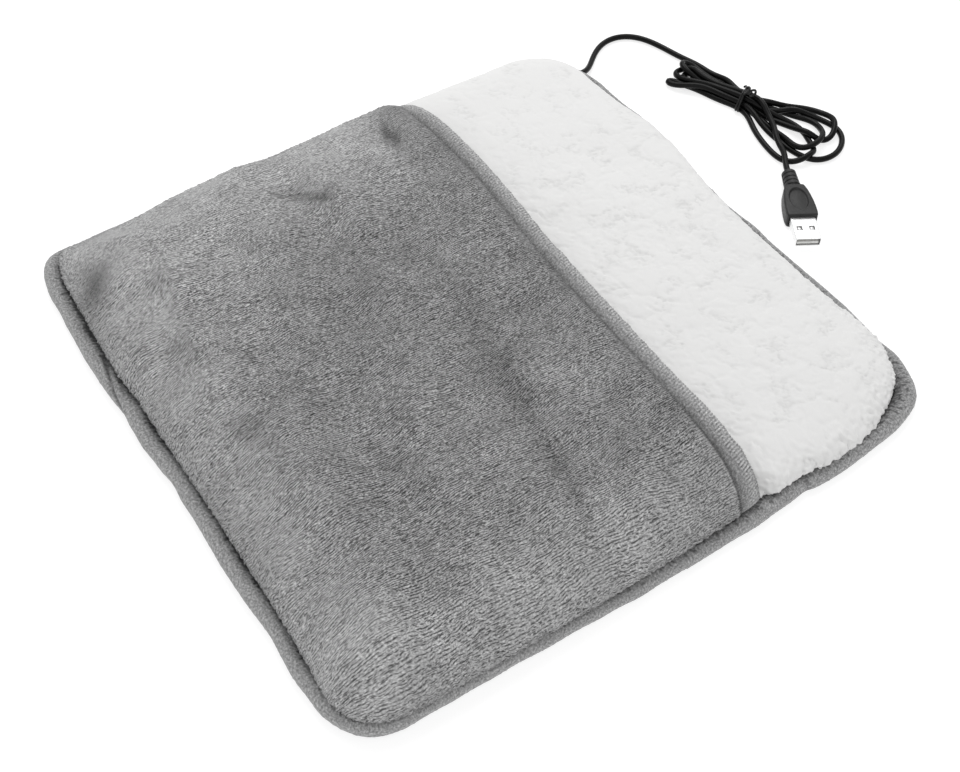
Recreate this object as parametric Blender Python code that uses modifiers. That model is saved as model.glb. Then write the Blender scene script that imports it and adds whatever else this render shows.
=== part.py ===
"""Electric foot warmer: a soft heated pad with a fleece-lined toe pocket and a thin low-voltage lead.

Metres, +Z up.  The origin is under the middle of the pad, on the surface that it lies on.
-Y is the closed toe edge of the pocket, +Y the open heel end that the lead leaves.
The pocket's own pieces turn about the toe seam, so their origins lie on that line.
"""
import math
import bpy
import bmesh
from mathutils import Matrix, Vector

# ---------------------------------------------------------------- driving dimensions
PAD_W = 0.296            # across the toes, X
PAD_D = 0.300            # toe edge to heel edge, Y
CORNER_R = 0.035         # outer radius of the pad's corners
CORNER_STEPS = 5

BIND_W = 0.0095          # width of the edge binding, seen from above
BIND_H = 0.0080          # its height
BIND_T = 0.0012          # its cloth
TUCK = 0.0036            # the covers' edges end this far inside the pad's outline
LIP = 0.0103             # the pillow shapes start to rise here, just inside the binding

MOUTH_Y = 0.0450         # front edge of the pocket's hem
HEM_W = 0.0094           # width of the hem
SEAM_GAP = 0.0003        # clearance between touching pieces

HINGE_Y = -0.1400        # the toe seam, about which the pocket lifts
HINGE_Z = 0.0085

WIRE_D = 0.0012          # heating wire over its sheath
WIRE_Z = 0.0065
RUNS = 8                 # parallel runs of heating wire
RUN_PITCH = 0.024
RUN_LOW, RUN_HIGH = -0.098, 0.074
SLEEVE_OUT, SLEEVE_WALL, SLEEVE_L = 0.0024, 0.00035, 0.007

CORD_D = 0.0030          # the lead
CORD_Z = CORD_D / 2
EXIT = Vector((-0.1196, 0.1490, 0.0047))

HANK_H = 0.0080          # height of the folded bundle
TIE = Vector((-0.0576, 0.2034, 0))           # middle of the bundle, where it is tied
TIE_TURN = math.radians(17.0)               # the bundle's direction there
TIE_W = 0.0044

PLUG = Vector((-0.0013, 0.1853, 0.0042))    # where the cord enters the plug
PLUG_TURN = math.radians(-30.2)
RELIEF_L = 0.0119
BODY_L = 0.0225
BODY_H = 0.0080
SHELL_W, SHELL_H, SHELL_L, SHELL_T = 0.0120, 0.0045, 0.0187, 0.0003
SHELL_IN = 0.0045        # length of the shell inside the overmould

# ---------------------------------------------------------------- a clean scene
for old in list(bpy.data.objects):
    bpy.data.objects.remove(old, do_unlink=True)

parts = bpy.data.collections.new("electric_foot_warmer")
cutters = bpy.data.collections.new("cutters")
bpy.context.scene.collection.children.link(parts)
bpy.context.scene.collection.children.link(cutters)


def material(name, colour, rough, metal=0.0):
    m = bpy.data.materials.new(name)
    m.use_nodes = True
    m.diffuse_color = (*colour, 1.0)
    b = m.node_tree.nodes["Principled BSDF"]
    b.inputs["Base Color"].default_value = (*colour, 1.0)
    b.inputs["Roughness"].default_value = rough
    b.inputs["Metallic"].default_value = metal
    return m


PLUSH = material("grey_plush", (0.255, 0.255, 0.258), 0.95)
SHERPA = material("white_fleece", (0.80, 0.80, 0.80), 0.95)
BINDING = material("grey_binding", (0.235, 0.235, 0.238), 0.90)
WADDING = material("wadding", (0.88, 0.88, 0.86), 0.95)
CARRIER = material("element_cloth", (0.80, 0.78, 0.72), 0.90)
HEATER = material("heating_wire_sheath", (0.45, 0.05, 0.04), 0.50)
JACKET = material("cord_jacket", (0.012, 0.012, 0.013), 0.40)
CORE_RED = material("core_red", (0.55, 0.03, 0.02), 0.45)
SLEEVING = material("sleeving", (0.03, 0.03, 0.03), 0.55)
CUTOUT = material("cutout_case", (0.60, 0.58, 0.52), 0.45)
TIE_PLASTIC = material("tie_plastic", (0.012, 0.012, 0.012), 0.45)
STEEL = material("plated_steel", (0.72, 0.72, 0.72), 0.25, 1.0)
INSULATOR = material("insulator_white", (0.78, 0.78, 0.76), 0.40)
GOLD = material("contact_gold", (0.80, 0.58, 0.25), 0.25, 1.0)


def place(name, mesh, mat, group=parts):
    ob = bpy.data.objects.new(name, mesh)
    group.objects.link(ob)
    if mat is not None:
        mesh.materials.clear()
        mesh.materials.append(mat)
    else:
        ob.display_type = 'WIRE'
        ob.hide_render = True
    return ob


def finish_mesh(bm, name, mat, group=parts, smooth=math.radians(35)):
    bmesh.ops.recalc_face_normals(bm, faces=bm.faces[:])
    mesh = bpy.data.meshes.new(name)
    bm.to_mesh(mesh)
    bm.free()
    if smooth:
        mesh.shade_smooth()
        mesh.set_sharp_from_angle(angle=smooth)
    return place(name, mesh, mat, group)


def boolean(ob, cutter, operation='DIFFERENCE'):
    mod = ob.modifiers.new(cutter.name, 'BOOLEAN')
    mod.operation = operation
    mod.object = cutter
    return mod


# ---------------------------------------------------------------- soft layers
def outline_face(bm, inset, z):
    """The pad's rounded outline, moved inwards by inset, as one flat face."""
    bmesh.ops.create_grid(bm, x_segments=1, y_segments=1, size=1.0)
    for v in bm.verts:
        v.co = Vector((math.copysign(PAD_W / 2 - inset, v.co.x), math.copysign(PAD_D / 2 - inset, v.co.y), z))
    bmesh.ops.bevel(bm, geom=bm.verts[:], offset=CORNER_R - inset, segments=CORNER_STEPS, profile=0.5,
                    affect='VERTICES')
    bm.faces.ensure_lookup_table()
    return bm.faces[0]


def to_ring(v, inset, z):
    """Slides a point of the outline square to it, to another inset and height."""
    c = Vector((math.copysign(PAD_W / 2 - CORNER_R, v.co.x), math.copysign(PAD_D / 2 - CORNER_R, v.co.y), 0))
    d = Vector((v.co.x, v.co.y, 0)) - c
    d.normalize()
    v.co = c + d * (CORNER_R - inset)
    v.co.z = z


def soft_layer(name, bottom, top, mat, y_from=None, y_to=None):
    """A pillow between two sets of rings, each (inset, height) from the edge inwards, trimmed at y_from and y_to."""
    bm = bmesh.new()
    low = outline_face(bm, *bottom[0])
    made = bmesh.ops.extrude_face_region(bm, geom=[low], use_keep_orig=True)
    high = [f for f in made['geom'] if isinstance(f, bmesh.types.BMFace)][0]
    for v in high.verts:
        to_ring(v, *top[0])
    for face, rings in ((high, top[1:]), (low, bottom[1:])):
        for inset, z in rings:
            made = bmesh.ops.extrude_face_region(bm, geom=[face])
            bmesh.ops.delete(bm, geom=[face], context='FACES_ONLY')
            face = [f for f in made['geom'] if isinstance(f, bmesh.types.BMFace)][0]
            for v in face.verts:
                to_ring(v, inset, z)
    for y, side in ((y_from, -1), (y_to, 1)):
        if y is None:
            continue
        cut = bmesh.ops.bisect_plane(bm, geom=bm.verts[:] + bm.edges[:] + bm.faces[:], plane_co=(0, y, 0),
                                     plane_no=(0, side, 0), clear_outer=True)
        rim = [e for e in cut['geom_cut'] if isinstance(e, bmesh.types.BMEdge)]
        bmesh.ops.contextual_create(bm, geom=rim)
    return finish_mesh(bm, name, mat)


def mm(*rings):
    return [(inset / 1000, z / 1000) for inset, z in rings]


SOLE_TOP = mm((TUCK * 1000, 6.2), (10.3, 6.3), (13.5, 9.6), (18, 12.4), (24, 14.4), (32, 15.2))
SOLE_LOW = mm((TUCK * 1000, 3.5), (10.3, 3.5), (13.5, 5.2), (18, 7.6), (24, 9.6), (32, 10.4))
COVER_TOP = mm((TUCK * 1000, 2.9), (10.3, 2.9), (13.5, 2.2), (18, 1.4), (24, 1.2))
COVER_LOW = mm((TUCK * 1000, 1.7), (10.3, 1.6), (13.5, 0.9), (18, 0.2), (20, 0.0))
LINING_LOW = mm((10.3, 8.6), (13.5, 12.2), (18, 16.0), (24, 19.0), (32, 20.9))
LINING_TOP = mm((10.3, 9.8), (13.5, 14.4), (18, 19.0), (24, 22.4), (32, 24.4))
UPPER_LOW = mm((10.3, 10.1), (13.5, 14.8), (18, 19.6), (24, 24.2), (32, 27.9))
UPPER_TOP = mm((10.3, 11.4), (13.5, 16.8), (18, 22.0), (24, 26.8), (32, 30.2))
FILL_LOW = mm((24, 22.8), (32, 24.8))
FILL_TOP = mm((24, 23.8), (32, 27.5))
HEM_TOP = mm((10.3, 11.2), (13.5, 16.2), (18, 21.2), (24, 25.8), (32, 29.0))

base_cover = soft_layer("base_cover", COVER_LOW, COVER_TOP, PLUSH)
base_batting_lower = soft_layer("base_batting_lower", mm((24, 1.5)), mm((24, 4.3)), WADDING)
base_batting_upper = soft_layer("base_batting_upper", mm((32, 8.6)), mm((32, 10.1)), WADDING)
sole_fleece = soft_layer("sole_fleece", SOLE_LOW, SOLE_TOP, SHERPA)

panel_end = MOUTH_Y - HEM_W - SEAM_GAP
pocket_fleece = soft_layer("pocket_fleece", LINING_LOW, LINING_TOP, SHERPA, y_to=panel_end)
pocket_batting = soft_layer("pocket_batting", FILL_LOW, FILL_TOP, WADDING, y_to=panel_end - 0.002)
pocket_cover = soft_layer("pocket_cover", UPPER_LOW, UPPER_TOP, PLUSH, y_to=panel_end)
mouth_binding = soft_layer("mouth_binding", LINING_LOW, HEM_TOP, BINDING, y_from=MOUTH_Y - HEM_W, y_to=MOUTH_Y)


# ---------------------------------------------------------------- flat cloths of the heating element
def plate(name, half_x, half_y, radius, z_low, z_high, mat):
    bm = bmesh.new()
    bmesh.ops.create_cube(bm, size=2.0)
    for v in bm.verts:
        v.co = Vector((v.co.x * half_x, v.co.y * half_y, z_high if v.co.z > 0 else z_low))
    upright = [e for e in bm.edges if abs(e.verts[0].co.z - e.verts[1].co.z) > 1e-6]
    bmesh.ops.bevel(bm, geom=upright, offset=radius, segments=4, profile=0.5, affect='EDGES')
    return finish_mesh(bm, name, mat)


plate("heater_carrier_lower", 0.1080, 0.1080, 0.012, 0.0046, 0.0050, CARRIER)
plate("heater_carrier_upper", 0.1080, 0.1080, 0.012, 0.0080, 0.0083, CARRIER)


# ---------------------------------------------------------------- wires, from a smooth curve through route points
def smooth_path(points, step):
    """Centripetal Catmull-Rom curve through the points, read at an even step."""
    p = [Vector(q) for q in points]
    p = [p[0] * 2 - p[1]] + p + [p[-1] * 2 - p[-2]]
    fine = []
    for i in range(1, len(p) - 2):
        knots = [0.0]
        for a, b in zip(p[i - 1:i + 2], p[i:i + 3]):
            knots.append(knots[-1] + math.sqrt((b - a).length))
        for k in range(24):
            t = knots[1] + (knots[2] - knots[1]) * k / 24

            def mix(a, b, ta, tb):
                return a * ((tb - t) / (tb - ta)) + b * ((t - ta) / (tb - ta))
            a1 = mix(p[i - 1], p[i], knots[0], knots[1])
            a2 = mix(p[i], p[i + 1], knots[1], knots[2])
            a3 = mix(p[i + 1], p[i + 2], knots[2], knots[3])
            b1 = mix(a1, a2, knots[0], knots[2])
            b2 = mix(a2, a3, knots[1], knots[3])
            fine.append(mix(b1, b2, knots[1], knots[2]))
    fine.append(p[-2])
    total = sum((b - a).length for a, b in zip(fine, fine[1:]))
    count = max(2, round(total / step))
    out, run, want = [fine[0]], 0.0, total / count
    for a, b in zip(fine, fine[1:]):
        seg = (b - a).length
        while len(out) < count and run + seg >= want * len(out):
            out.append(a.lerp(b, (want * len(out) - run) / seg))
        run += seg
    out.append(fine[-1])
    return out


def tube(name, points, diameter, mat, resolution=2):
    curve = bpy.data.curves.new(name, 'CURVE')
    curve.dimensions = '3D'
    curve.bevel_depth = diameter / 2
    curve.bevel_resolution = resolution
    curve.use_fill_caps = True
    spline = curve.splines.new('POLY')
    spline.points.add(len(points) - 1)
    for sp, q in zip(spline.points, points):
        sp.co = (*q, 1.0)
    curve.materials.append(mat)
    ob = bpy.data.objects.new(name, curve)
    parts.objects.link(ob)
    return ob


# Serpentine: even runs along Y joined by half circles, then one return along the heel side.
half = RUN_PITCH / 2
wire = []
for k in range(RUNS):
    x = (k - (RUNS - 1) / 2) * RUN_PITCH
    down = k % 2 == 0
    top = RUN_HIGH if 0 < k < RUNS - 1 else (RUN_HIGH + 0.012 if k == 0 else RUN_HIGH)
    wire += [Vector((x, top, WIRE_Z)), Vector((x, RUN_LOW, WIRE_Z))][::1 if down else -1]
    if k < RUNS - 1:
        yc, side = (RUN_LOW, -1) if down else (RUN_HIGH, 1)
        for j in range(1, 6):
            a = math.pi * j / 6
            wire.append(Vector((x + half - half * math.cos(a), yc + side * half * math.sin(a), WIRE_Z)))
x_last = (RUNS - 1) / 2 * RUN_PITCH
return_y = RUN_HIGH + 0.018
for j in range(1, 5):                      # quarter turn to the left
    a = math.pi / 2 * j / 4
    wire.append(Vector((x_last - 0.010 + 0.010 * math.cos(a), return_y - 0.010 + 0.010 * math.sin(a), WIRE_Z)))
wire.append(Vector((-0.0540, return_y, WIRE_Z)))
for j in range(1, 5):                      # quarter turn back towards the heel
    a = math.pi / 2 * j / 4
    wire.append(Vector((-0.0540 - 0.008 * math.sin(a), return_y + 0.008 - 0.008 * math.cos(a), WIRE_Z)))
wire.append(Vector((-0.0620, return_y + 0.0125, WIRE_Z)))
heating_wire = tube("heating_wire", wire, WIRE_D, HEATER)


def sleeve(name, centre):
    """A shrink sleeve over a joint, open at both ends, lying along Y."""
    bm = bmesh.new()
    bmesh.ops.create_cone(bm, cap_ends=False, segments=12, radius1=SLEEVE_OUT / 2, radius2=SLEEVE_OUT / 2,
                          depth=SLEEVE_L)
    ob = finish_mesh(bm, name, SLEEVING)
    ob.rotation_euler = (math.pi / 2, 0, 0)
    ob.location = centre
    wall = ob.modifiers.new("wall", 'SOLIDIFY')
    wall.thickness = SLEEVE_WALL
    wall.offset = -1.0
    return ob


x_cut = -(RUNS - 1) / 2 * RUN_PITCH
y_wire = RUN_HIGH + 0.012
splice_element = sleeve("splice_element", (x_cut, y_wire + 0.0010, WIRE_Z))
splice_positive = sleeve("splice_positive", (x_cut, y_wire + 0.0230, WIRE_Z))
splice_negative = sleeve("splice_negative", (-0.0620, return_y + 0.0130, WIRE_Z))

# Thermal cutout: a small case with a pin at each end.
cut_y = y_wire + 0.0120
bm = bmesh.new()
bmesh.ops.create_cube(bm, size=1.0)
for v in bm.verts:
    v.co = Vector((v.co.x * 0.0042, v.co.y * 0.0090, v.co.z * 0.0020))
bmesh.ops.bevel(bm, geom=bm.edges[:], offset=0.0004, segments=2, profile=0.5, affect='EDGES')
thermal_cutout = finish_mesh(bm, "thermal_cutout", CUTOUT)
thermal_cutout.location = (x_cut, cut_y, WIRE_Z)
bm = bmesh.new()
bmesh.ops.create_cone(bm, cap_ends=True, segments=8, radius1=0.0005, radius2=0.0005, depth=0.0200)
cut_pins = finish_mesh(bm, "cut_pins", None, cutters)
cut_pins.rotation_euler = (math.pi / 2, 0, 0)
cut_pins.location = (x_cut, cut_y, WIRE_Z)
boolean(thermal_cutout, cut_pins, 'UNION')

# Cord anchor: the moulded grip inside the corner that stops the lead pulling out.
ANCHOR = Vector((-0.1150, 0.1200, 0.0063))
anchor_dir = Vector((EXIT.x - ANCHOR.x, EXIT.y - ANCHOR.y, 0)).normalized()
bm = bmesh.new()
bmesh.ops.create_cube(bm, size=1.0)
for v in bm.verts:
    v.co = Vector((v.co.x * 0.0080, v.co.y * 0.0090, v.co.z * 0.0032))
bmesh.ops.bevel(bm, geom=bm.edges[:], offset=0.0006, segments=2, profile=0.5, affect='EDGES')
cord_anchor = finish_mesh(bm, "cord_anchor", JACKET)
cord_anchor.location = ANCHOR
cord_anchor.rotation_euler = (0, 0, math.atan2(anchor_dir.y, anchor_dir.x) - math.pi / 2)

out_face = ANCHOR + anchor_dir * (0.0045 + SEAM_GAP)
in_face = ANCHOR - anchor_dir * (0.0045 + SEAM_GAP)
aside = Vector((-anchor_dir.y, anchor_dir.x, 0))
plus = in_face + aside * 0.0020
minus = in_face - aside * 0.0020
plus.z = minus.z = WIRE_Z
lead_positive = tube("lead_positive", smooth_path(
    [plus, plus - anchor_dir * 0.004, (-0.1040, 0.1115, WIRE_Z), (-0.0935, 0.1175, WIRE_Z),
     (-0.0860, 0.1175, WIRE_Z), (x_cut, 0.1135, WIRE_Z), (x_cut, 0.1100, WIRE_Z)], 0.003), WIRE_D, CORE_RED)
lead_negative = tube("lead_negative", smooth_path(
    [minus, minus - anchor_dir * 0.0025, (-0.1065, 0.1175, WIRE_Z), (-0.0950, 0.1205, WIRE_Z),
     (-0.0780, 0.1205, WIRE_Z), (-0.0670, 0.1185, WIRE_Z), (-0.0625, 0.1140, WIRE_Z),
     (-0.0620, 0.1095, WIRE_Z), (-0.0620, 0.1055, WIRE_Z)], 0.0025), WIRE_D, JACKET)

# ---------------------------------------------------------------- edge binding: a folded tape all round the pad
binding_path = bpy.data.curves.new("binding_path", 'CURVE')
binding_path.dimensions = '3D'
binding_path.twist_mode = 'Z_UP'
loop = binding_path.splines.new('POLY')
mid = BIND_W / 2
corner = []
for sx, sy, start in ((1, 1, 0), (-1, 1, 90), (-1, -1, 180), (1, -1, 270)):
    for j in range(7):
        a = math.radians(start + 90 * j / 6)
        corner.append(Vector((sx * (PAD_W / 2 - CORNER_R) + (CORNER_R - mid) * math.cos(a),
                              sy * (PAD_D / 2 - CORNER_R) + (CORNER_R - mid) * math.sin(a), 0)))
loop.points.add(len(corner) - 1)
for sp, q in zip(loop.points, corner):
    sp.co = (*q, 1.0)
loop.use_cyclic_u = True

# The folded section, as (distance in from the outer edge, height): out along the bottom, back along the inside.
fold = [(BIND_W, 0), (0.0032, 0), (0.0013, 0.0006), (0.0003, 0.0020), (0, BIND_H / 2), (0.0003, 0.0060),
        (0.0013, 0.0074), (0.0032, BIND_H), (BIND_W, BIND_H), (BIND_W, BIND_H - BIND_T), (0.0034, BIND_H - BIND_T),
        (0.0019, 0.0059), (BIND_T, BIND_H / 2), (0.0019, 0.0021), (0.0034, BIND_T), (BIND_W, BIND_T)]
section = bpy.data.curves.new("binding_section", 'CURVE')
section.dimensions = '2D'
section.fill_mode = 'NONE'
ring = section.splines.new('POLY')
ring.points.add(len(fold) - 1)
for sp, (inset, z) in zip(ring.points, fold):
    sp.co = (mid - inset, z, 0, 1.0)
ring.use_cyclic_u = True
section_ob = bpy.data.objects.new("binding_section", section)
cutters.objects.link(section_ob)
section_ob.hide_render = True
section_ob.display_type = 'WIRE'
binding_path.bevel_mode = 'OBJECT'
binding_path.bevel_object = section_ob
path_ob = bpy.data.objects.new("binding_path", binding_path)
cutters.objects.link(path_ob)
bpy.context.view_layer.update()
swept = bpy.data.meshes.new_from_object(path_ob.evaluated_get(bpy.context.evaluated_depsgraph_get()))
bpy.data.objects.remove(path_ob, do_unlink=True)
bm = bmesh.new()
bm.from_mesh(swept)
bmesh.ops.remove_doubles(bm, verts=bm.verts[:], dist=0.00001)
bpy.data.meshes.remove(swept)
edge_binding = finish_mesh(bm, "edge_binding", BINDING)

# The lead's way out through the binding, and its channel under the edge of the fleece.
way = (EXIT - out_face).normalized()
bm = bmesh.new()
bmesh.ops.create_cone(bm, cap_ends=True, segments=12, radius1=CORD_D / 2 + 0.00035, radius2=CORD_D / 2 + 0.00035,
                      depth=0.060)
cord_way = finish_mesh(bm, "cord_way", None, cutters)
cord_way.rotation_mode = 'QUATERNION'
cord_way.rotation_quaternion = way.to_track_quat('Z', 'Y')
cord_way.location = EXIT - way * 0.015
boolean(edge_binding, cord_way)
boolean(sole_fleece, cord_way)

# ---------------------------------------------------------------- the lead, its folded bundle and the tie
lead_route = [out_face, out_face.lerp(EXIT, 0.5), EXIT, EXIT + way * 0.0030 + Vector((0, 0, -0.0003)),
              Vector((-0.1232, 0.1545, 0.0036)), Vector((-0.1282, 0.1604, 0.0021)), Vector((-0.1334, 0.1678, 0.0016)),
              Vector((-0.1360, 0.1745, CORD_Z)), Vector((-0.1362, 0.1806, CORD_Z)),
              Vector((-0.1342, 0.1862, CORD_Z)), Vector((-0.1303, 0.1908, CORD_Z)),
              Vector((-0.1253, 0.1940, CORD_Z)), Vector((-0.1139, 0.1979, CORD_Z)),
              Vector((-0.1023, 0.2009, CORD_Z)), Vector((-0.0906, 0.2037, CORD_Z)),
              Vector((-0.0820, 0.2054, CORD_Z)), Vector((-0.0748, 0.2062, CORD_Z))]
cord_lead = tube("cord_lead", smooth_path(lead_route, 0.0065), CORD_D, JACKET)

along = Vector((math.cos(TIE_TURN), math.sin(TIE_TURN), 0))
across = Vector((-along.y, along.x, 0))


def near_tie(x, y):
    q = TIE + along * x + across * y
    return q.x, q.y


# The tied bundle meets the open loops just past the tie.
folds_outline = [near_tie(0.0030, -0.0058), (-0.0595, 0.1958), (-0.0660, 0.1928), (-0.0740, 0.1894), (-0.0800, 0.1854),
                 (-0.0860, 0.1806), (-0.0900, 0.1786), (-0.0935, 0.1786), (-0.0970, 0.1840), (-0.0992, 0.1900),
                 (-0.0985, 0.1965), (-0.0955, 0.1998), (-0.0880, 0.2016), (-0.0800, 0.2030), (-0.0745, 0.2036),
                 (-0.0745, 0.2080), (-0.0660, 0.2092), (-0.0605, 0.2108), near_tie(0.0030, 0.0058)]
loops_outline = [near_tie(0.0033, 0.0066), (-0.0505, 0.2145), (-0.0460, 0.2195), (-0.0410, 0.2260), (-0.0360, 0.2312),
                 (-0.0290, 0.2340), (-0.0200, 0.2340), (-0.0120, 0.2322), (-0.0050, 0.2284), (-0.0005, 0.2225),
                 (0.0006, 0.2150), (-0.0003, 0.2075), (-0.0035, 0.2022), (-0.0052, 0.1968), (-0.0088, 0.1942),
                 (-0.0120, 0.1889), (-0.0160, 0.1889), (-0.0240, 0.1896), (-0.0320, 0.1910), (-0.0400, 0.1936),
                 (-0.0470, 0.1964), near_tie(0.0033, -0.0066)]


def flat_bundle(name, outline):
    """The outer shape of a flat bundle of folded cord, standing on the surface."""
    flat = bpy.data.curves.new(name, 'CURVE')
    flat.dimensions = '2D'
    flat.fill_mode = 'BOTH'
    flat.extrude = HANK_H / 2
    edge = flat.splines.new('POLY')
    edge.points.add(len(outline) - 1)
    for sp, (x, y) in zip(edge.points, outline):
        sp.co = (x, y, 0, 1.0)
    edge.use_cyclic_u = True
    flat_ob = bpy.data.objects.new(name + "_outline", flat)
    cutters.objects.link(flat_ob)
    bpy.context.view_layer.update()
    mesh = bpy.data.meshes.new_from_object(flat_ob.evaluated_get(bpy.context.evaluated_depsgraph_get()))
    bpy.data.objects.remove(flat_ob, do_unlink=True)
    bm = bmesh.new()
    bm.from_mesh(mesh)
    bmesh.ops.remove_doubles(bm, verts=bm.verts[:], dist=0.00001)
    bpy.data.meshes.remove(mesh)
    ob = finish_mesh(bm, name, JACKET)
    ob.location = (0, 0, HANK_H / 2 + 0.0001)
    return ob


cord_folds = flat_bundle("cord_folds", folds_outline)
cord_loops = flat_bundle("cord_loops", loops_outline)


def box(name, size, centre, mat=None, group=cutters, bevel=0.0):
    bm = bmesh.new()
    bmesh.ops.create_cube(bm, size=1.0)
    for v in bm.verts:
        v.co = Vector((v.co.x * size[0], v.co.y * size[1], v.co.z * size[2]))
    if bevel:
        bmesh.ops.bevel(bm, geom=bm.edges[:], offset=bevel, segments=2, profile=0.5, affect='EDGES')
    ob = finish_mesh(bm, name, mat, group, smooth=0)
    ob.location = centre
    return ob


# The tie's waist in the bundle: narrower and clear of the surface, so that the tie passes right round it.
WAIST_LOW, WAIST_HIGH, WAIST_W = 0.0016, 0.0076, 0.0110
tie_frame = bpy.data.objects.new("tie_frame", None)
parts.objects.link(tie_frame)
tie_frame.location = TIE
tie_frame.rotation_euler = (0, 0, TIE_TURN)
cut_x = -TIE_W / 2 - SEAM_GAP + 0.010
for tag, centre, size in (
        ("waist_under", (cut_x, 0, WAIST_LOW - 0.005), (0.020, 0.040, 0.010)),
        ("waist_over", (cut_x, 0, WAIST_HIGH + 0.005), (0.020, 0.040, 0.010)),
        ("waist_front", (cut_x, -WAIST_W / 2 - 0.010, 0.004), (0.020, 0.020, 0.020)),
        ("waist_back", (cut_x, WAIST_W / 2 + 0.010, 0.004), (0.020, 0.020, 0.020))):
    cutter = box(tag, size, centre)
    cutter.parent = tie_frame
    boolean(cord_folds, cutter)

tie_h = 0.0088
cord_tie = box("cord_tie", (TIE_W, WAIST_W + 0.0030, tie_h), (0, 0, tie_h / 2 + 0.0002), TIE_PLASTIC, parts,
               bevel=0.0009)
cord_tie.parent = tie_frame
hole = box("tie_hole", (TIE_W * 3, WAIST_W + 0.0006, WAIST_HIGH - WAIST_LOW + 0.0006),
           (0, 0, (WAIST_LOW + WAIST_HIGH) / 2))
hole.parent = tie_frame
boolean(cord_tie, hole)

plug_way = Vector((math.cos(PLUG_TURN), math.sin(PLUG_TURN), 0))
tail_from = Vector((-0.0104, 0.19155, CORD_D * 1.46))
tail_way = Vector((0.8577, -0.5142, 0))
tail_route = [tail_from + tail_way * SEAM_GAP, tail_from + tail_way * 0.0022, PLUG - plug_way * 0.0022,
              PLUG - plug_way * SEAM_GAP]
cord_tail = tube("cord_tail", smooth_path(tail_route, 0.0016), CORD_D, JACKET)

# ---------------------------------------------------------------- the plug, built along +X and turned into place
plug_frame = bpy.data.objects.new("plug_frame", None)
parts.objects.link(plug_frame)
plug_frame.location = PLUG
plug_frame.rotation_euler = (0, 0, PLUG_TURN)

outline = [(0.0104, 0.0033), (0.0125, 0.0039), (0.0160, 0.0047), (0.0200, 0.0055), (0.0240, 0.0063),
           (0.0280, 0.0070), (0.0315, 0.0075), (RELIEF_L + BODY_L, 0.0076)]
body = bpy.data.curves.new("plug_body", 'CURVE')
body.dimensions = '2D'
body.fill_mode = 'BOTH'
body.extrude = BODY_H / 2
edge = body.splines.new('POLY')
pts = outline + [(x, -y) for x, y in reversed(outline)]
edge.points.add(len(pts) - 1)
for sp, (x, y) in zip(edge.points, pts):
    sp.co = (x, y, 0, 1.0)
edge.use_cyclic_u = True
body_ob = bpy.data.objects.new("plug_body", body)
cutters.objects.link(body_ob)
bpy.context.view_layer.update()
body_mesh = bpy.data.meshes.new_from_object(body_ob.evaluated_get(bpy.context.evaluated_depsgraph_get()))
bpy.data.objects.remove(body_ob, do_unlink=True)
bm = bmesh.new()
bm.from_mesh(body_mesh)
bmesh.ops.remove_doubles(bm, verts=bm.verts[:], dist=0.00001)
bpy.data.meshes.remove(body_mesh)
usb_overmould = finish_mesh(bm, "usb_overmould", JACKET)
usb_overmould.parent = plug_frame
soften = usb_overmould.modifiers.new("soften", 'BEVEL')
soften.width = 0.0006
soften.segments = 2
soften.limit_method = 'ANGLE'
soften.angle_limit = math.radians(50)

# Ribbed strain relief: a turned profile, run down its outer side.
steps = [(RELIEF_L + 0.0030, 0.0030), (RELIEF_L - 0.0004, 0.0033)]
for k in range(4):
    x0 = RELIEF_L - 0.0006 - k * 0.00275
    r = 0.0040 - k * 0.0002
    steps += [(x0, r), (x0 - 0.0017, r), (x0 - 0.0019, r - 0.0007)] + ([(x0 - 0.0026, r - 0.0007)] if k < 3 else [])
steps.append((0.0, 0.0027))
bm = bmesh.new()
chain = [bm.verts.new((0, 0, steps[0][0]))] + [bm.verts.new((r, 0, x)) for x, r in steps] + [bm.verts.new((0, 0, 0))]
for a, b in zip(chain, chain[1:]):
    bm.edges.new((a, b))
mesh = bpy.data.meshes.new("relief")
bm.to_mesh(mesh)
bm.free()
relief = place("relief", mesh, None, cutters)
relief.rotation_euler = (0, math.pi / 2, 0)
relief.parent = plug_frame
turn = relief.modifiers.new("turn", 'SCREW')
turn.axis = 'Z'
turn.steps = turn.render_steps = 12
turn.use_merge_vertices = True
turn.merge_threshold = 0.0001
turn.use_normal_calculate = False
boolean(usb_overmould, relief, 'UNION')

seat = box("shell_seat", (SHELL_IN * 2, SHELL_W + 0.0006, SHELL_H + 0.0006), (RELIEF_L + BODY_L, 0, 0))
seat.parent = plug_frame
boolean(usb_overmould, seat)
bm = bmesh.new()
bmesh.ops.create_cone(bm, cap_ends=True, segments=24, radius1=1.0, radius2=1.0, depth=0.002)
for v in bm.verts:
    v.co = Vector((v.co.x * 0.0064, v.co.y * 0.0043, v.co.z))
recess = finish_mesh(bm, "oval_recess", None, cutters)
recess.location = (0.0232, 0, BODY_H / 2 + 0.0006)
recess.parent = plug_frame
boolean(usb_overmould, recess)

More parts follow.
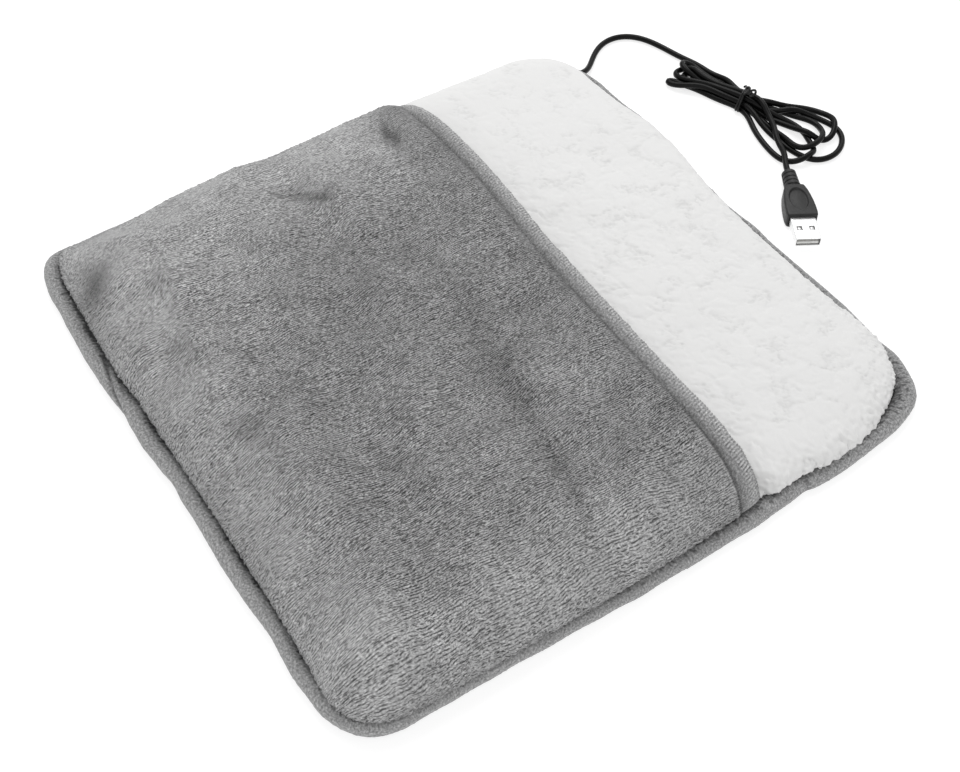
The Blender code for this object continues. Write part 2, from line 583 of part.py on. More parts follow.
# Metal shell: an open box with a thin wall, two windows in each broad side.
shell_x = RELIEF_L + BODY_L - SHELL_IN + SEAM_GAP
bm = bmesh.new()
bmesh.ops.create_cube(bm, size=1.0)
for v in bm.verts:
    v.co = Vector((v.co.x * SHELL_L, v.co.y * SHELL_W, v.co.z * SHELL_H))
long_edges = [e for e in bm.edges if abs(e.verts[0].co.x - e.verts[1].co.x) > 0.001]
bmesh.ops.bevel(bm, geom=long_edges, offset=0.0006, segments=2, profile=0.5, affect='EDGES')
ends = [f for f in bm.faces if abs(f.normal.x) > 0.9]
bmesh.ops.delete(bm, geom=ends, context='FACES')
usb_shell = finish_mesh(bm, "usb_shell", STEEL)
usb_shell.location = (shell_x + SHELL_L / 2, 0, 0)
usb_shell.parent = plug_frame
wall = usb_shell.modifiers.new("wall", 'SOLIDIFY')
wall.thickness = SHELL_T
wall.offset = -1.0
tip = shell_x + SHELL_L
for k, side in enumerate((-1, 1)):
    hole = box("window_%d" % k, (0.0027, 0.0026, 0.02), (tip - 0.0074, side * 0.0030, 0))
    hole.parent = plug_frame
    boolean(usb_shell, hole)

inner_w, inner_h = SHELL_W - 2 * SHELL_T - 0.0006, SHELL_H - 2 * SHELL_T - 0.0006
low = -SHELL_H / 2 + SHELL_T + 0.0003
usb_insulator = box("usb_insulator", (0.0055, inner_w, inner_h), (shell_x + 0.0040, 0, 0), INSULATOR, parts,
                    bevel=0.0002)
usb_insulator.parent = plug_frame
tongue = box("tongue", (0.0130, inner_w - 0.0006, 0.0013), (shell_x + 0.0115, 0, low + 0.00085))
tongue.parent = plug_frame
boolean(usb_insulator, tongue, 'UNION')

# Four contacts lying on the tongue: power, two data and ground.
for k, y in enumerate((-0.0035, -0.0010, 0.0010, 0.0035)):
    contact = box("usb_contact_%d" % (k + 1), (0.0080, 0.0010, 0.0002),
                  (shell_x + 0.0115, y, low + 0.0015 + 0.0003 + 0.0001), GOLD, parts)
    contact.parent = plug_frame

# ---------------------------------------------------------------- the pocket's pieces hang on the toe seam
toe_seam = bpy.data.objects.new("toe_seam", None)
parts.objects.link(toe_seam)
toe_seam.location = (0, HINGE_Y, HINGE_Z)
bpy.context.view_layer.update()
for ob in (pocket_cover, pocket_batting, pocket_fleece, mouth_binding):
    ob.parent = toe_seam
    ob.matrix_parent_inverse = Matrix.Identity(4)
    ob.data.transform(Matrix.Translation((0, -HINGE_Y, -HINGE_Z)))
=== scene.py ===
"""Looks of the electric foot warmer: a soft heated pad with a fleece-lined toe pocket and a thin low-voltage lead.

Metres, +Z up, in the model's own frame: -Y is the closed toe edge, +Y the heel end that the lead leaves.
Lengths inside the helper functions are in millimetres, and every mesh is scaled to metres when it is made.
"""
import math

import bpy
import numpy as np
from mathutils import Matrix, Vector


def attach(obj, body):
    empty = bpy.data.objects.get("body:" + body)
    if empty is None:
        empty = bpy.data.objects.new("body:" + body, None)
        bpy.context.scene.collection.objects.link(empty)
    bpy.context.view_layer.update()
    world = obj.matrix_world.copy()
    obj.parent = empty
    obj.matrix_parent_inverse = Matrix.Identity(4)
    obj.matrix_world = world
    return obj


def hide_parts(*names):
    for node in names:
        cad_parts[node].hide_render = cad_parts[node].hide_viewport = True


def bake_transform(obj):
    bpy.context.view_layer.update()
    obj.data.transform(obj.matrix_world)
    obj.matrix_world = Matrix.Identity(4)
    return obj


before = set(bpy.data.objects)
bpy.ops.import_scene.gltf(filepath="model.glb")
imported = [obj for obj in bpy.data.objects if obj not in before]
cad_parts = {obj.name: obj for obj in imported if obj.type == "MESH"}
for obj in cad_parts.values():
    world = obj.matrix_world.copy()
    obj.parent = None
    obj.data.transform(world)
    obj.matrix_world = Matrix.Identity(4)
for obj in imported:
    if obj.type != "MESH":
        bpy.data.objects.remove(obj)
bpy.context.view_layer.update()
MM = 0.001

# ================================================================ camera
cam_data = bpy.data.cameras.new("camera")
cam = bpy.data.objects.new("camera", cam_data)
bpy.context.scene.collection.objects.link(cam)
yaw, pitch, roll = math.radians(55.3746), math.radians(49.7319), math.radians(1.3629)
look = Vector((-math.sin(yaw) * math.cos(pitch), math.cos(yaw) * math.cos(pitch), -math.sin(pitch)))
right = look.cross(Vector((0, 0, 1))).normalized()
up = right.cross(look)
cam_x = right * math.cos(roll) + up * math.sin(roll)
cam_y = up * math.cos(roll) - right * math.sin(roll)
turn = Matrix((cam_x, cam_y, -look)).transposed().to_4x4()
cam.matrix_world = Matrix.Translation((0.367534, -0.249833, 0.486913)) @ turn
cam_data.sensor_width = 36.0
cam_data.lens = 1477.726 / 960 * 36.0
cam_data.clip_start, cam_data.clip_end = 0.01, 20
cam_data.dof.use_dof = False
bpy.context.scene.camera = cam

bpy.context.scene.view_settings.view_transform = "Standard"
bpy.context.scene.view_settings.look = "None"


# ================================================================ helpers: numbers
def smooth(a, b, x):
    t = np.clip((x - a) / (b - a), 0, 1)
    return t * t * (3 - 2 * t)


class Noise:
    """A repeating field of seeded noise, even or streaked, with a standard deviation of 1."""

    def __init__(self, seed, step, wave, size=(512, 512), long=None, band=0.35):
        """step (x, y) in mm between samples; wave is the wavelength across; long, if given, the streaks' length along y."""
        rng = np.random.default_rng(seed)
        ny, nx = size
        fx = np.fft.fftfreq(nx, step[0])[None, :]
        fy = np.fft.fftfreq(ny, step[1])[:, None]
        if long is None:
            f = np.hypot(fx, fy)
            gain = np.exp(-0.5 * ((f - 1 / wave) / (band / wave)) ** 2)
        else:
            gain = np.exp(-0.5 * ((np.abs(fx) - 1 / wave) / (band / wave)) ** 2) * np.exp(-0.5 * (fy * long * 1.6) ** 2)
        field = np.fft.ifft2(np.fft.fft2(rng.standard_normal((ny, nx))) * gain).real
        self.field, self.step = (field - field.mean()) / field.std(), step

    def __call__(self, x, y):
        ny, nx = self.field.shape
        u, v = np.asarray(x) / self.step[0], np.asarray(y) / self.step[1]
        i, j = np.floor(u).astype(int), np.floor(v).astype(int)
        a, b = u - i, v - j
        f = self.field
        i0, i1, j0, j1 = i % nx, (i + 1) % nx, j % ny, (j + 1) % ny
        return (f[j0, i0] * (1 - a) + f[j0, i1] * a) * (1 - b) + (f[j1, i0] * (1 - a) + f[j1, i1] * a) * b


def cells(x, y, size, seed, jitter=0.85):
    """Distances to the nearest and second nearest of a jittered lattice of points, in units of size, and the nearest's own number."""
    rng = np.random.default_rng(seed)
    n = 96
    px, py, tag = rng.random((n, n)) * jitter, rng.random((n, n)) * jitter, rng.random((n, n))
    u, v = x / size, y / size
    i, j = np.floor(u).astype(int), np.floor(v).astype(int)
    d1 = np.full(np.shape(x), 9.0)
    d2 = np.full(np.shape(x), 9.0)
    own = np.zeros(np.shape(x))
    for di in (-1, 0, 1):
        for dj in (-1, 0, 1):
            a, b = (j + dj) % n, (i + di) % n
            d = np.hypot(i + di + px[a, b] - u, j + dj + py[a, b] - v)
            near = d < d1
            d2 = np.where(near, d1, np.minimum(d2, d))
            own = np.where(near, tag[a, b], own)
            d1 = np.where(near, d, d1)
    return d1, d2, own


def even_curve(points, step):
    """Centripetal Catmull-Rom curve through the points, read at an even step."""
    p = np.asarray(points, float)
    p = np.vstack([2 * p[0] - p[1], p, 2 * p[-1] - p[-2]])
    out = []
    for i in range(1, len(p) - 2):
        q = p[i - 1:i + 3]
        t = np.concatenate([[0], np.cumsum(np.sqrt(np.linalg.norm(np.diff(q, axis=0), axis=1)))])
        s = np.linspace(t[1], t[2], 16, endpoint=False)[:, None]
        a = [((t[k + 1] - s) * q[k] + (s - t[k]) * q[k + 1]) / (t[k + 1] - t[k]) for k in range(3)]
        b = [((t[k + 2] - s) * a[k] + (s - t[k]) * a[k + 1]) / (t[k + 2] - t[k]) for k in range(2)]
        out.append(((t[2] - s) * b[0] + (s - t[1]) * b[1]) / (t[2] - t[1]))
    line = np.vstack(out + [p[-2:-1]])
    run = np.concatenate([[0], np.cumsum(np.linalg.norm(np.diff(line, axis=0), axis=1))])
    at = np.linspace(0, run[-1], int(round(run[-1] / step)) + 1)
    return np.stack([np.interp(at, run, line[:, k]) for k in range(line.shape[1])], axis=1)


# ================================================================ helpers: meshes
def make_mesh(name, verts, quads, tris=None, material=None, smooth_shade=True):
    """A mesh object from arrays of corner numbers; verts are in millimetres."""
    mesh = bpy.data.meshes.new(name)
    quads = np.asarray(quads, np.int32).reshape(-1, 4)
    tris = np.zeros((0, 3), np.int32) if tris is None else np.asarray(tris, np.int32).reshape(-1, 3)
    mesh.vertices.add(len(verts))
    mesh.vertices.foreach_set("co", (np.asarray(verts) * MM).astype(np.float32).ravel())
    mesh.loops.add(quads.size + tris.size)
    mesh.loops.foreach_set("vertex_index", np.concatenate([quads.ravel(), tris.ravel()]))
    mesh.polygons.add(len(quads) + len(tris))
    mesh.polygons.foreach_set("loop_start", np.concatenate([np.arange(len(quads)) * 4, quads.size + np.arange(len(tris)) * 3]).astype(np.int32))
    mesh.update(calc_edges=True)
    mesh.validate()
    if smooth_shade:
        mesh.shade_smooth()
    ob = bpy.data.objects.new(name, mesh)
    bpy.context.scene.collection.objects.link(ob)
    if material is not None:
        mesh.materials.append(material)
    return ob


def put(ob, name, values):
    """Stores a number or a vector for each vertex."""
    values = np.asarray(values, np.float32)
    kind = "FLOAT_VECTOR" if values.ndim == 2 else "FLOAT"
    a = ob.data.attributes.new(name, kind, "POINT")
    a.data.foreach_set("vector" if values.ndim == 2 else "value", values.ravel())


def normals_of(grid):
    du, dv = np.gradient(grid, axis=1), np.gradient(grid, axis=0)
    n = np.cross(du, dv)
    size = np.linalg.norm(n, axis=2, keepdims=True)
    good = size > 1e-5
    n = np.where(good, n / np.maximum(size, 1e-9), 0)
    for _ in range(3):                                          # fills the few points where the grid's lines meet end on
        mean = np.zeros_like(n)
        for axis in (0, 1):
            for shift in (-1, 1):
                mean += np.roll(n, shift, axis=axis)
        mean /= np.maximum(np.linalg.norm(mean, axis=2, keepdims=True), 1e-9)
        n = np.where(good, n, mean)
    return n


def picks(n, stride):
    k = list(range(0, n - 1, stride))
    if n - 1 - k[-1] < stride / 2 and len(k) > 2:
        k.pop()
    return np.array(k + [n - 1])


def closed_sheet(name, fine, coarse_of, strides, material, flip=False):
    """A closed solid: a fine grid on one side, and on the other a coarse one that coarse_of(rows, columns) gives.
    Returns the object and the number of fine vertices, which come first."""
    n, m = fine.shape[:2]
    rows, cols = picks(n, strides[0]), picks(m, strides[1])
    back = coarse_of(rows, cols)
    verts = np.vstack([fine.reshape(-1, 3), back.reshape(-1, 3)])
    idx = np.arange(n * m).reshape(n, m)
    quads = np.stack([idx[:-1, :-1], idx[:-1, 1:], idx[1:, 1:], idx[1:, :-1]], axis=-1).reshape(-1, 4)
    low = n * m + np.arange(len(rows) * len(cols)).reshape(len(rows), len(cols))
    under = np.stack([low[:-1, :-1], low[1:, :-1], low[1:, 1:], low[:-1, 1:]], axis=-1).reshape(-1, 4)
    tris = []

    def side(fine_line, keys, coarse_line):
        for k in range(len(keys) - 1):
            a, b = keys[k], keys[k + 1]
            step = 1 if b > a else -1
            chain = list(range(a, b + step, step))
            mid = len(chain) // 2
            c0, c1 = coarse_line[k], coarse_line[k + 1]
            for q in range(len(chain) - 1):
                tris.append((fine_line[chain[q + 1]], fine_line[chain[q]], c0 if q < mid else c1))
            tris.append((fine_line[chain[mid]], c0, c1))
    side(idx[0], cols, low[0])
    side(idx[:, -1], rows, low[:, -1])
    side(idx[-1], cols[::-1], low[-1][::-1])
    side(idx[:, 0], rows[::-1], low[:, 0][::-1])
    quads = np.vstack([quads, under])
    tris = np.array(tris)
    if flip:
        quads, tris = quads[:, ::-1], tris[:, ::-1]
    return make_mesh(name, verts, quads, tris, material), n * m


def tube_grid(name, rings, material, closed_path=True, cap=False):
    """A swept solid: rings is paths x section x 3."""
    n, m = rings.shape[:2]
    idx = np.arange(n * m).reshape(n, m)
    nxt = np.roll(idx, -1, axis=1)
    a, b = (idx, np.roll(idx, -1, axis=0)) if closed_path else (idx[:-1], idx[1:])
    an, bn = (nxt, np.roll(nxt, -1, axis=0)) if closed_path else (nxt[:-1], nxt[1:])
    quads = np.stack([a, an, bn, b], axis=-1).reshape(-1, 4)
    verts, tris = rings.reshape(-1, 3), []
    if cap:
        verts = np.vstack([verts, rings[0].mean(0), rings[-1].mean(0)])
        for k in range(m):
            tris += [(idx[0, (k + 1) % m], idx[0, k], n * m), (idx[-1, k], idx[-1, (k + 1) % m], n * m + 1)]
    return make_mesh(name, verts, quads, np.array(tris) if cap else None, material)


def curve_object(name, lines, diameter, material, sides=6, closed=()):
    """A round cord or wire through the points (mm)."""
    curve = bpy.data.curves.new(name, "CURVE")
    curve.dimensions = "3D"
    curve.bevel_depth = diameter / 2 * MM
    curve.bevel_resolution = sides
    curve.use_fill_caps = True
    for k, line in enumerate(lines):
        spline = curve.splines.new("POLY")
        spline.points.add(len(line) - 1)
        spline.points.foreach_set("co", np.hstack([np.asarray(line) * MM, np.ones((len(line), 1))]).ravel())
        spline.use_cyclic_u = k in closed
        spline.use_smooth = True
    curve.materials.append(material)
    ob = bpy.data.objects.new(name, curve)
    bpy.context.scene.collection.objects.link(ob)
    return ob


# ================================================================ helpers: materials
class Look:
    """A procedural material: a Principled shader with nodes built by short calls."""

    def __init__(self, name, colour, rough, **sockets):
        self.m = bpy.data.materials.new(name)
        self.m.use_nodes = True
        self.t = self.m.node_tree
        self.b = self.t.nodes["Principled BSDF"]
        self.b.inputs["Base Color"].default_value = (*colour, 1)
        self.b.inputs["Roughness"].default_value = rough
        self.m.diffuse_color = (*colour, 1)
        for key, value in sockets.items():
            self.b.inputs[key.replace("_", " ")].default_value = value

    def new(self, kind, **inputs):
        n = self.t.nodes.new("ShaderNode" + kind)
        for key, value in inputs.items():
            if hasattr(n, key):
                setattr(n, key, value)
                continue
            socket = n.inputs[int(key[1:]) if key[0] == "i" and key[1:].isdigit() else key.replace("_", " ")]
            if isinstance(value, bpy.types.NodeSocket):
                self.t.links.new(value, socket)
            else:
                socket.default_value = value
        return n

    def link(self, source, name):
        self.t.links.new(source, self.b.inputs[name])

    def attribute(self, name, vector=False):
        n = self.new("Attribute", attribute_name=name)
        return n.outputs["Vector" if vector else "Fac"]

    def math(self, operation, a, b=None, c=None, clamp=False):
        n = self.t.nodes.new("ShaderNodeMath")
        n.operation, n.use_clamp = operation, clamp
        for k, value in enumerate((a, b, c)):
            if value is None:
                continue
            if isinstance(value, bpy.types.NodeSocket):
                self.t.links.new(value, n.inputs[k])
            else:
                n.inputs[k].default_value = value
        return n.outputs[0]

    def stretch(self, vector, scale):
        n = self.t.nodes.new("ShaderNodeVectorMath")
        n.operation = "MULTIPLY"
        self.t.links.new(vector, n.inputs[0])
        n.inputs[1].default_value = scale
        return n.outputs[0]

    def noise(self, vector, scale, detail=2.0, rough=0.5, distortion=0.0):
        return self.new("TexNoise", Vector=vector, Scale=scale, Detail=detail, Roughness=rough, Distortion=distortion).outputs["Fac"]

    def range(self, value, a, b, c, d):
        return self.new("MapRange", Value=value, From_Min=a, From_Max=b, To_Min=c, To_Max=d).outputs["Result"]

    def grey(self, value, tint=(1.0, 1.0, 1.0)):
        """A colour of that brightness."""
        n = self.new("CombineColor")
        for k, t in enumerate(tint):
            v = value if t == 1.0 else self.math("MULTIPLY", value, t)
            self.t.links.new(v, n.inputs[k])
        return n.outputs[0]

    def bump(self, height, distance, strength=1.0, under=None):
        n = self.new("Bump", Height=height, Distance=distance, Strength=strength)
        if under is not None:
            self.t.links.new(under, n.inputs["Normal"])
        return n.outputs["Normal"]


def object_coords(look):
    return look.new("TexCoord").outputs["Object"]


# ================================================================ the pad's outline
HX, HY = 148.0, 150.0
R_BR, R_TR, R_TL, R_BL = 24.0, 42.0, 38.0, 35.0      # corner radii: toe right, heel right, heel left, toe left


def outline(x, y):
    """Distance inside the plain rounded outline, its outward direction, and the place along it, anticlockwise from (HX, 0)."""
    r = np.where(x > 0, np.where(y > 0, R_TR, R_BR), np.where(y > 0, R_TL, R_BL))
    ax, ay = np.abs(x), np.abs(y)
    a, b = HX - r, HY - r
    qx, qy = ax - a, ay - b
    corner = (qx > 0) & (qy > 0)
    on_x = ~corner & (ax - HX > ay - HY)
    size = np.maximum(np.hypot(qx, qy), 1e-9)
    inset = np.where(corner, r - size, np.where(on_x, HX - ax, HY - ay))
    nx = np.where(corner, qx / size, np.where(on_x, 1.0, 0.0)) * np.where(x < 0, -1, 1)
    ny = np.where(corner, qy / size, np.where(on_x, 0.0, 1.0)) * np.where(y < 0, -1, 1)
    part = np.where(corner, b + r * np.arctan2(qy, qx), np.where(on_x, np.minimum(ay, b), b + r * np.pi / 2 + a - np.minimum(ax, a)))
    whole = [HX - q + HY - q + q * np.pi / 2 for q in (R_TR, R_TL, R_BL, R_BR)]
    start = np.concatenate([[0], np.cumsum(whole)])
    s = np.where(y >= 0, np.where(x > 0, start[0] + part, start[2] - part), np.where(x <= 0, start[2] + part, start[4] - part))
    return inset, nx, ny, s


WHOLE = sum(HX - q + HY - q + q * np.pi / 2 for q in (R_TR, R_TL, R_BL, R_BR))


def along(knots, blur=7.0):
    """A smooth function of the place along the outline, from values at some points of it."""
    pts = np.array([k[0] for k in knots], float)
    s = outline(pts[:, 0], pts[:, 1])[3]
    v = np.array([k[1] for k in knots], float)
    order = np.argsort(s)
    s, v = s[order], v[order]
    at = np.arange(0, WHOLE, 0.5)
    line = np.interp(at, np.concatenate([s[-1:] - WHOLE, s, s[:1] + WHOLE]), np.concatenate([v[-1:], v, v[:1]]))
    k = np.fft.fftfreq(len(at), 0.5)
    line = np.fft.ifft(np.fft.fft(line) * np.exp(-0.5 * (2 * np.pi * k * blur) ** 2)).real
    return lambda q: np.interp(np.mod(q, WHOLE), at, line, period=WHOLE)


# How far the real, slightly uneven edge stands out from the plain outline.
cloth_out = along([((-100, -150), 1.2), ((-70, -150), 2.4), ((-48, -150), 2.9), ((-36, -150), 1.6), ((-20, -150), 2.0), ((30, -150), 1.7),
                  ((80, -150), 2.0), ((115, -150), 2.6), ((143, -143), 3.6), ((148, -118), 3.0), ((148, -80), 3.8), ((148, -40), 4.6),
                  ((148, 5), 5.0), ((148, 34), 4.2), ((148, 50), 2.4), ((148, 60), 1.3), ((148, 64.5), 0.9), ((148, 70), 2.8),
                  ((148, 82), 3.7), ((148, 98), 3.2), ((142, 128), 1.0), ((120, 148), -2.5), ((95, 150), -2.6), ((78, 150), -4.6),
                  ((55, 150), -5.6), ((15, 150), -5.6), ((-12, 150), -4.6), ((-35, 150), -0.8), ((-60, 150), 1.0), ((-80, 150), -1.8),
                  ((-105, 150), -3.6), ((-136, 139), -3.0), ((-148, 105), -3.4), ((-148, 40), -2.4), ((-148, -60), -2.6),
                  ((-148, -105), -2.8), ((-146, -125), -2.6), ((-143.5, -132), -0.8), ((-140.5, -137), 1.8), ((-137, -140.5), 2.8), ((-132, -144), 2.0), ((-125, -147.6), 0.9), ((-113, -150), 0.6)], blur=3.0)
edge_out = along([((-109, -150), 1.2), ((-101, -150), 1.3), ((-93, -150), 1.9), ((-85, -150), 2.6), ((-77, -150), 2.7), ((-69, -150), 2.6), ((-61, -150), 2.6), ((-53, -150), 2.4),
                  ((-45, -150), 2.1), ((-37, -150), 1.1), ((-29, -150), 1.9), ((-21, -150), 2.4), ((-13, -150), 2.4), ((-5, -150), 1.4), ((3, -150), 0.6), ((11, -150), 0.5),
                  ((19, -150), 0.9), ((27, -150), 1.2), ((35, -150), 0.7), ((43, -150), 1.5), ((51, -150), 1.9), ((59, -150), 2.3), ((67, -150), 2.0), ((75, -150), 1.3),
                  ((83, -150), 1.2), ((91, -150), 1.0), ((99, -150), 2.3), ((107, -150), 2.8), ((115, -150), 2.4), ((123, -150), 1.4), ((131, -149), 1.3), ((138, -145), 1.9),
                  ((144, -140), 2.4), ((147, -132), 1.5), ((148, -124), 1.9), ((148, -112), 1.5), ((148, -100), 1.4), ((148, -88), 1.6), ((148, -72), 2.2), ((148, -60), 2.4),
                  ((148, -48), 2.9), ((148, -36), 3.2), ((148, -26), 3.8), ((148, -14), 3.0), ((148, -2), 3.3), ((148, 10), 3.5), ((148, 24), 3.1), ((148, 34), 2.7),
                  ((148, 42), 2.4), ((148, 50), 1.7), ((148, 58), 0.5), ((148, 63), -0.3), ((148, 70), 1.6), ((148, 78), 1.4), ((148, 86), 1.0), ((148, 94), 0.2),
                  ((148, 104), -0.8), ((148, 113), -1.7), ((146, 120), -1.6), ((143, 127), -0.9), ((139, 134), 0.2), ((133, 140), -0.6), ((127, 144), -1.7), ((120, 148), -3.4),
                  ((112, 150), -4.6), ((104, 150), -4.4), ((96, 150), -4.0), ((88, 150), -3.8), ((80, 150), -3.4), ((64, 150), -3.4), ((48, 150), -3.7), ((30, 150), -3.8),
                  ((16, 150), -3.4), ((0, 150), -4.2), ((-16, 150), -3.8), ((-32, 150), -2.4), ((-48, 150), -1.2), ((-64, 150), 0.2), ((-72, 150), 0.2), ((-80, 150), -1.6),
                  ((-88, 150), -1.4), ((-96, 150), -1.2), ((-104, 150), -1.3), ((-112, 150), -1.9), ((-122, 148), -3.0), ((-136, 139), -3.2), ((-148, 105), -3.4),
                  ((-148, 40), -2.4), ((-148, -60), -2.8), ((-148, -84), -3.2), ((-148, -96), -3.8), ((-148, -104), -4.8), ((-148, -112), -4.7), ((-147, -120), -4.4), ((-145.5, -127), -3.4),
                  ((-143, -133), -0.9), ((-140.5, -137), 1.9), ((-137, -140.5), 3.2), ((-132, -144), 2.3), ((-125, -147.6), 0.7), ((-117, -150), 0.5)], blur=2.4)

# Outlines of the flat parts of cloth: ring(s, inset) is the point that far inside the plain outline.
_at = np.arange(0, WHOLE, 0.1)


def _plain(s):
    s = np.mod(s, WHOLE)
    out = np.zeros((len(s), 4))
    whole = [HX - q + HY - q + q * np.pi / 2 for q in (R_TR, R_TL, R_BL, R_BR)]
    start = np.concatenate([[0], np.cumsum(whole)])
    for k, (r, sx, sy) in enumerate(((R_TR, 1, 1), (R_TL, -1, 1), (R_BL, -1, -1), (R_BR, 1, -1))):
        inside = (s >= start[k]) & (s <= start[k + 1] + 1e-9)
        part = s[inside] - start[k] if sx * sy > 0 else start[k + 1] - s[inside]
        a, b = HX - r, HY - r
        t = np.clip((part - b) / r, 0, np.pi / 2)
        x = np.where(part < b, HX, np.where(part > b + r * np.pi / 2, a - (part - b - r * np.pi / 2), a + r * np.cos(t)))
        y = np.where(part < b, part, np.where(part > b + r * np.pi / 2, HY, b + r * np.sin(t)))
        out[inside] = np.stack([x * sx, y * sy, np.cos(t) * sx, np.sin(t) * sy], axis=1)
    return out


def ring(s, inset):
    p = _plain(np.atleast_1d(s))
    return p[:, :2] - p[:, 2:] * np.asarray(inset).reshape(-1, 1)


def place_of(x, y):
    return float(outline(np.array([x], float), np.array([y], float))[3][0])


# ---------------------------------------------------------------- flat cloth, as grids of points
def spaced(total, steps):
    """Places from 0 to total with a step that varies: steps is a list of (place, step)."""
    where, step = zip(*steps)
    out = [0.0]
    while out[-1] < total:
        out.append(out[-1] + np.interp(out[-1], where, step))
    out = np.array(out)
    return out * (total / out[-1])


def coons(low, high, left, right):
    """The grid between four edges: low and high run along x, left and right along y."""
    m, n = len(low), len(left)
    u = (np.concatenate([[0], np.cumsum(np.linalg.norm(np.diff(low, axis=0), axis=1))]))
    u2 = (np.concatenate([[0], np.cumsum(np.linalg.norm(np.diff(high, axis=0), axis=1))]))
    u = (u / u[-1] + u2 / u2[-1]) / 2
    v = (np.concatenate([[0], np.cumsum(np.linalg.norm(np.diff(left, axis=0), axis=1))]))
    v2 = (np.concatenate([[0], np.cumsum(np.linalg.norm(np.diff(right, axis=0), axis=1))]))
    v = (v / v[-1] + v2 / v2[-1]) / 2
    u, v = u[None, :, None], v[:, None, None]
    g = (1 - v) * low[None] + v * high[None] + (1 - u) * left[:, None] + u * right[:, None]
    g -= (1 - u) * (1 - v) * low[0] + u * (1 - v) * low[-1] + (1 - u) * v * high[0] + u * v * high[-1]
    return g


def sample(points, at):
    run = np.concatenate([[0], np.cumsum(np.linalg.norm(np.diff(points, axis=0), axis=1))])
    q = np.asarray(at) * run[-1]
    return np.stack([np.interp(q, run, points[:, k]) for k in range(points.shape[1])], axis=1)


def flat_half(side, y_end, inset, u_steps, v_steps):
    """Grid of the part of the pocket on one side of its middle line, from the toe edge to y_end. side is 1 for +X, -1 for -X."""
    r = R_BR if side > 0 else R_BL
    corner = place_of(side * (HX - r * (1 - math.sqrt(0.5))), -(HY - r * (1 - math.sqrt(0.5))))
    mid, end = place_of(0.01 * side, -HY), place_of(side * HX, y_end) + (WHOLE if side > 0 and y_end > 0 else 0)
    toe = ring(np.linspace(mid, corner, 400), inset)
    edge = ring(np.linspace(corner, end, 600), inset)
    toe[0, 0] = 0.0
    edge[-1, 1] = y_end
    u = spaced(1.0, u_steps)
    v = spaced(1.0, v_steps)
    u = 1 - u[::-1]                                             # fine steps near the edge
    low, high = sample(toe, u), np.stack([u * edge[-1, 0], np.full(len(u), y_end)], axis=1)
    left = np.stack([np.zeros(len(v)), toe[0, 1] + v * (y_end - toe[0, 1])], axis=1)
    right_edge = sample(edge, v)
    g = coons(low, high, left, right_edge)
    return g if side > 0 else g[:, ::-1]


def flat_whole(inset, u_at, v_at):
    """Grid of the whole pad; u_at and v_at run from 0 to 1."""
    c = {}
    for key, r, sx, sy in (("br", R_BR, 1, -1), ("tr", R_TR, 1, 1), ("tl", R_TL, -1, 1), ("bl", R_BL, -1, -1)):
        c[key] = place_of(sx * (HX - r * (1 - math.sqrt(0.5))), sy * (HY - r * (1 - math.sqrt(0.5))))
    low = ring(np.linspace(c["bl"], c["br"], 900), inset)
    high = ring(np.linspace(c["tl"], c["tr"], 900), inset)
    left = ring(np.linspace(c["bl"], c["tl"], 900), inset)
    right_edge = ring(np.linspace(c["br"] - WHOLE, c["tr"], 900), inset)
    return coons(sample(low, u_at), sample(high, u_at), sample(left, v_at), sample(right_edge, v_at))


# ---------------------------------------------------------------- flat cloth laid over its filling
FOLD = 12.0        # the steep edge of a layer is cut from this much of the flat cloth


class Profile:
    """The edge of a layer in section: (distance in from the real edge, height), starting at the seam."""

    def __init__(self, seam, points):
        line = even_curve(points, 0.1)
        run = np.concatenate([[0], np.cumsum(np.linalg.norm(np.diff(line, axis=0), axis=1))])
        over = np.nonzero(line[:, 0] < seam + FOLD)[0][-1]
        self.t = np.concatenate([np.linspace(0, FOLD, over + 1), np.maximum.accumulate(line[over + 1:, 0]) - seam])
        self.t = np.concatenate([self.t, [400]])
        self.inset = np.concatenate([line[:, 0], [seam + 400]])
        self.z = np.concatenate([line[:, 1], line[-1:, 1]])
        self.seam = seam

    def __call__(self, t):
        return np.interp(t, self.t, self.inset), np.interp(t, self.t, self.z)


def lay(flat, sections, seam):
    """Lays flat cloth (n x m x 2) over its filling. sections is a list of (weight field, Profile).
    Returns the points, and the distance of each from the seam in the flat cloth."""
    x, y = flat[..., 0], flat[..., 1]
    inset, nx, ny, s = outline(x, y)
    t = np.maximum(inset - seam, 0)
    new_in, z, total = 0, 0, 0
    for weight, profile in sections:
        a, b = profile(t)
        new_in, z, total = new_in + weight * a, z + weight * b, total + weight
    new_in, z = new_in / total, z / total
    out = cloth_out(s) * (1 - smooth(2.0, FOLD + 0.5, t)) + (seam + t - new_in) * (t < FOLD + 26)
    out = np.where(t < FOLD, out, 0)
    return np.stack([x + nx * out, y + ny * out, z], axis=-1), t, s


def side_weights(flat):
    """How much a point belongs to the left side, the right side and the toe edge."""
    x, y = flat[..., 0], flat[..., 1]
    left = smooth(60, 132, -x)
    right_w = smooth(60, 134, x) * smooth(-146, -112, y)
    return left, right_w, np.clip(1 - left - right_w, 0, 1)


# ================================================================ floor and light
floor_look = Look("floor", (0.42, 0.42, 0.42), 0.9, Specular_IOR_Level=0.0)
floor_look.b.inputs["Emission Color"].default_value = (1, 1, 1, 1)
floor_look.b.inputs["Emission Strength"].default_value = 0.72
bpy.ops.mesh.primitive_plane_add(size=14.0, location=(0, 0, -0.0002))
floor = bpy.context.object
floor.name = "floor"
floor.data.materials.append(floor_look.m)

world = bpy.data.worlds.new("studio")
bpy.context.scene.world = world
world.use_nodes = True
world.node_tree.nodes["Background"].inputs["Color"].default_value = (1, 1, 1, 1)
world.node_tree.nodes["Background"].inputs["Strength"].default_value = 0.62


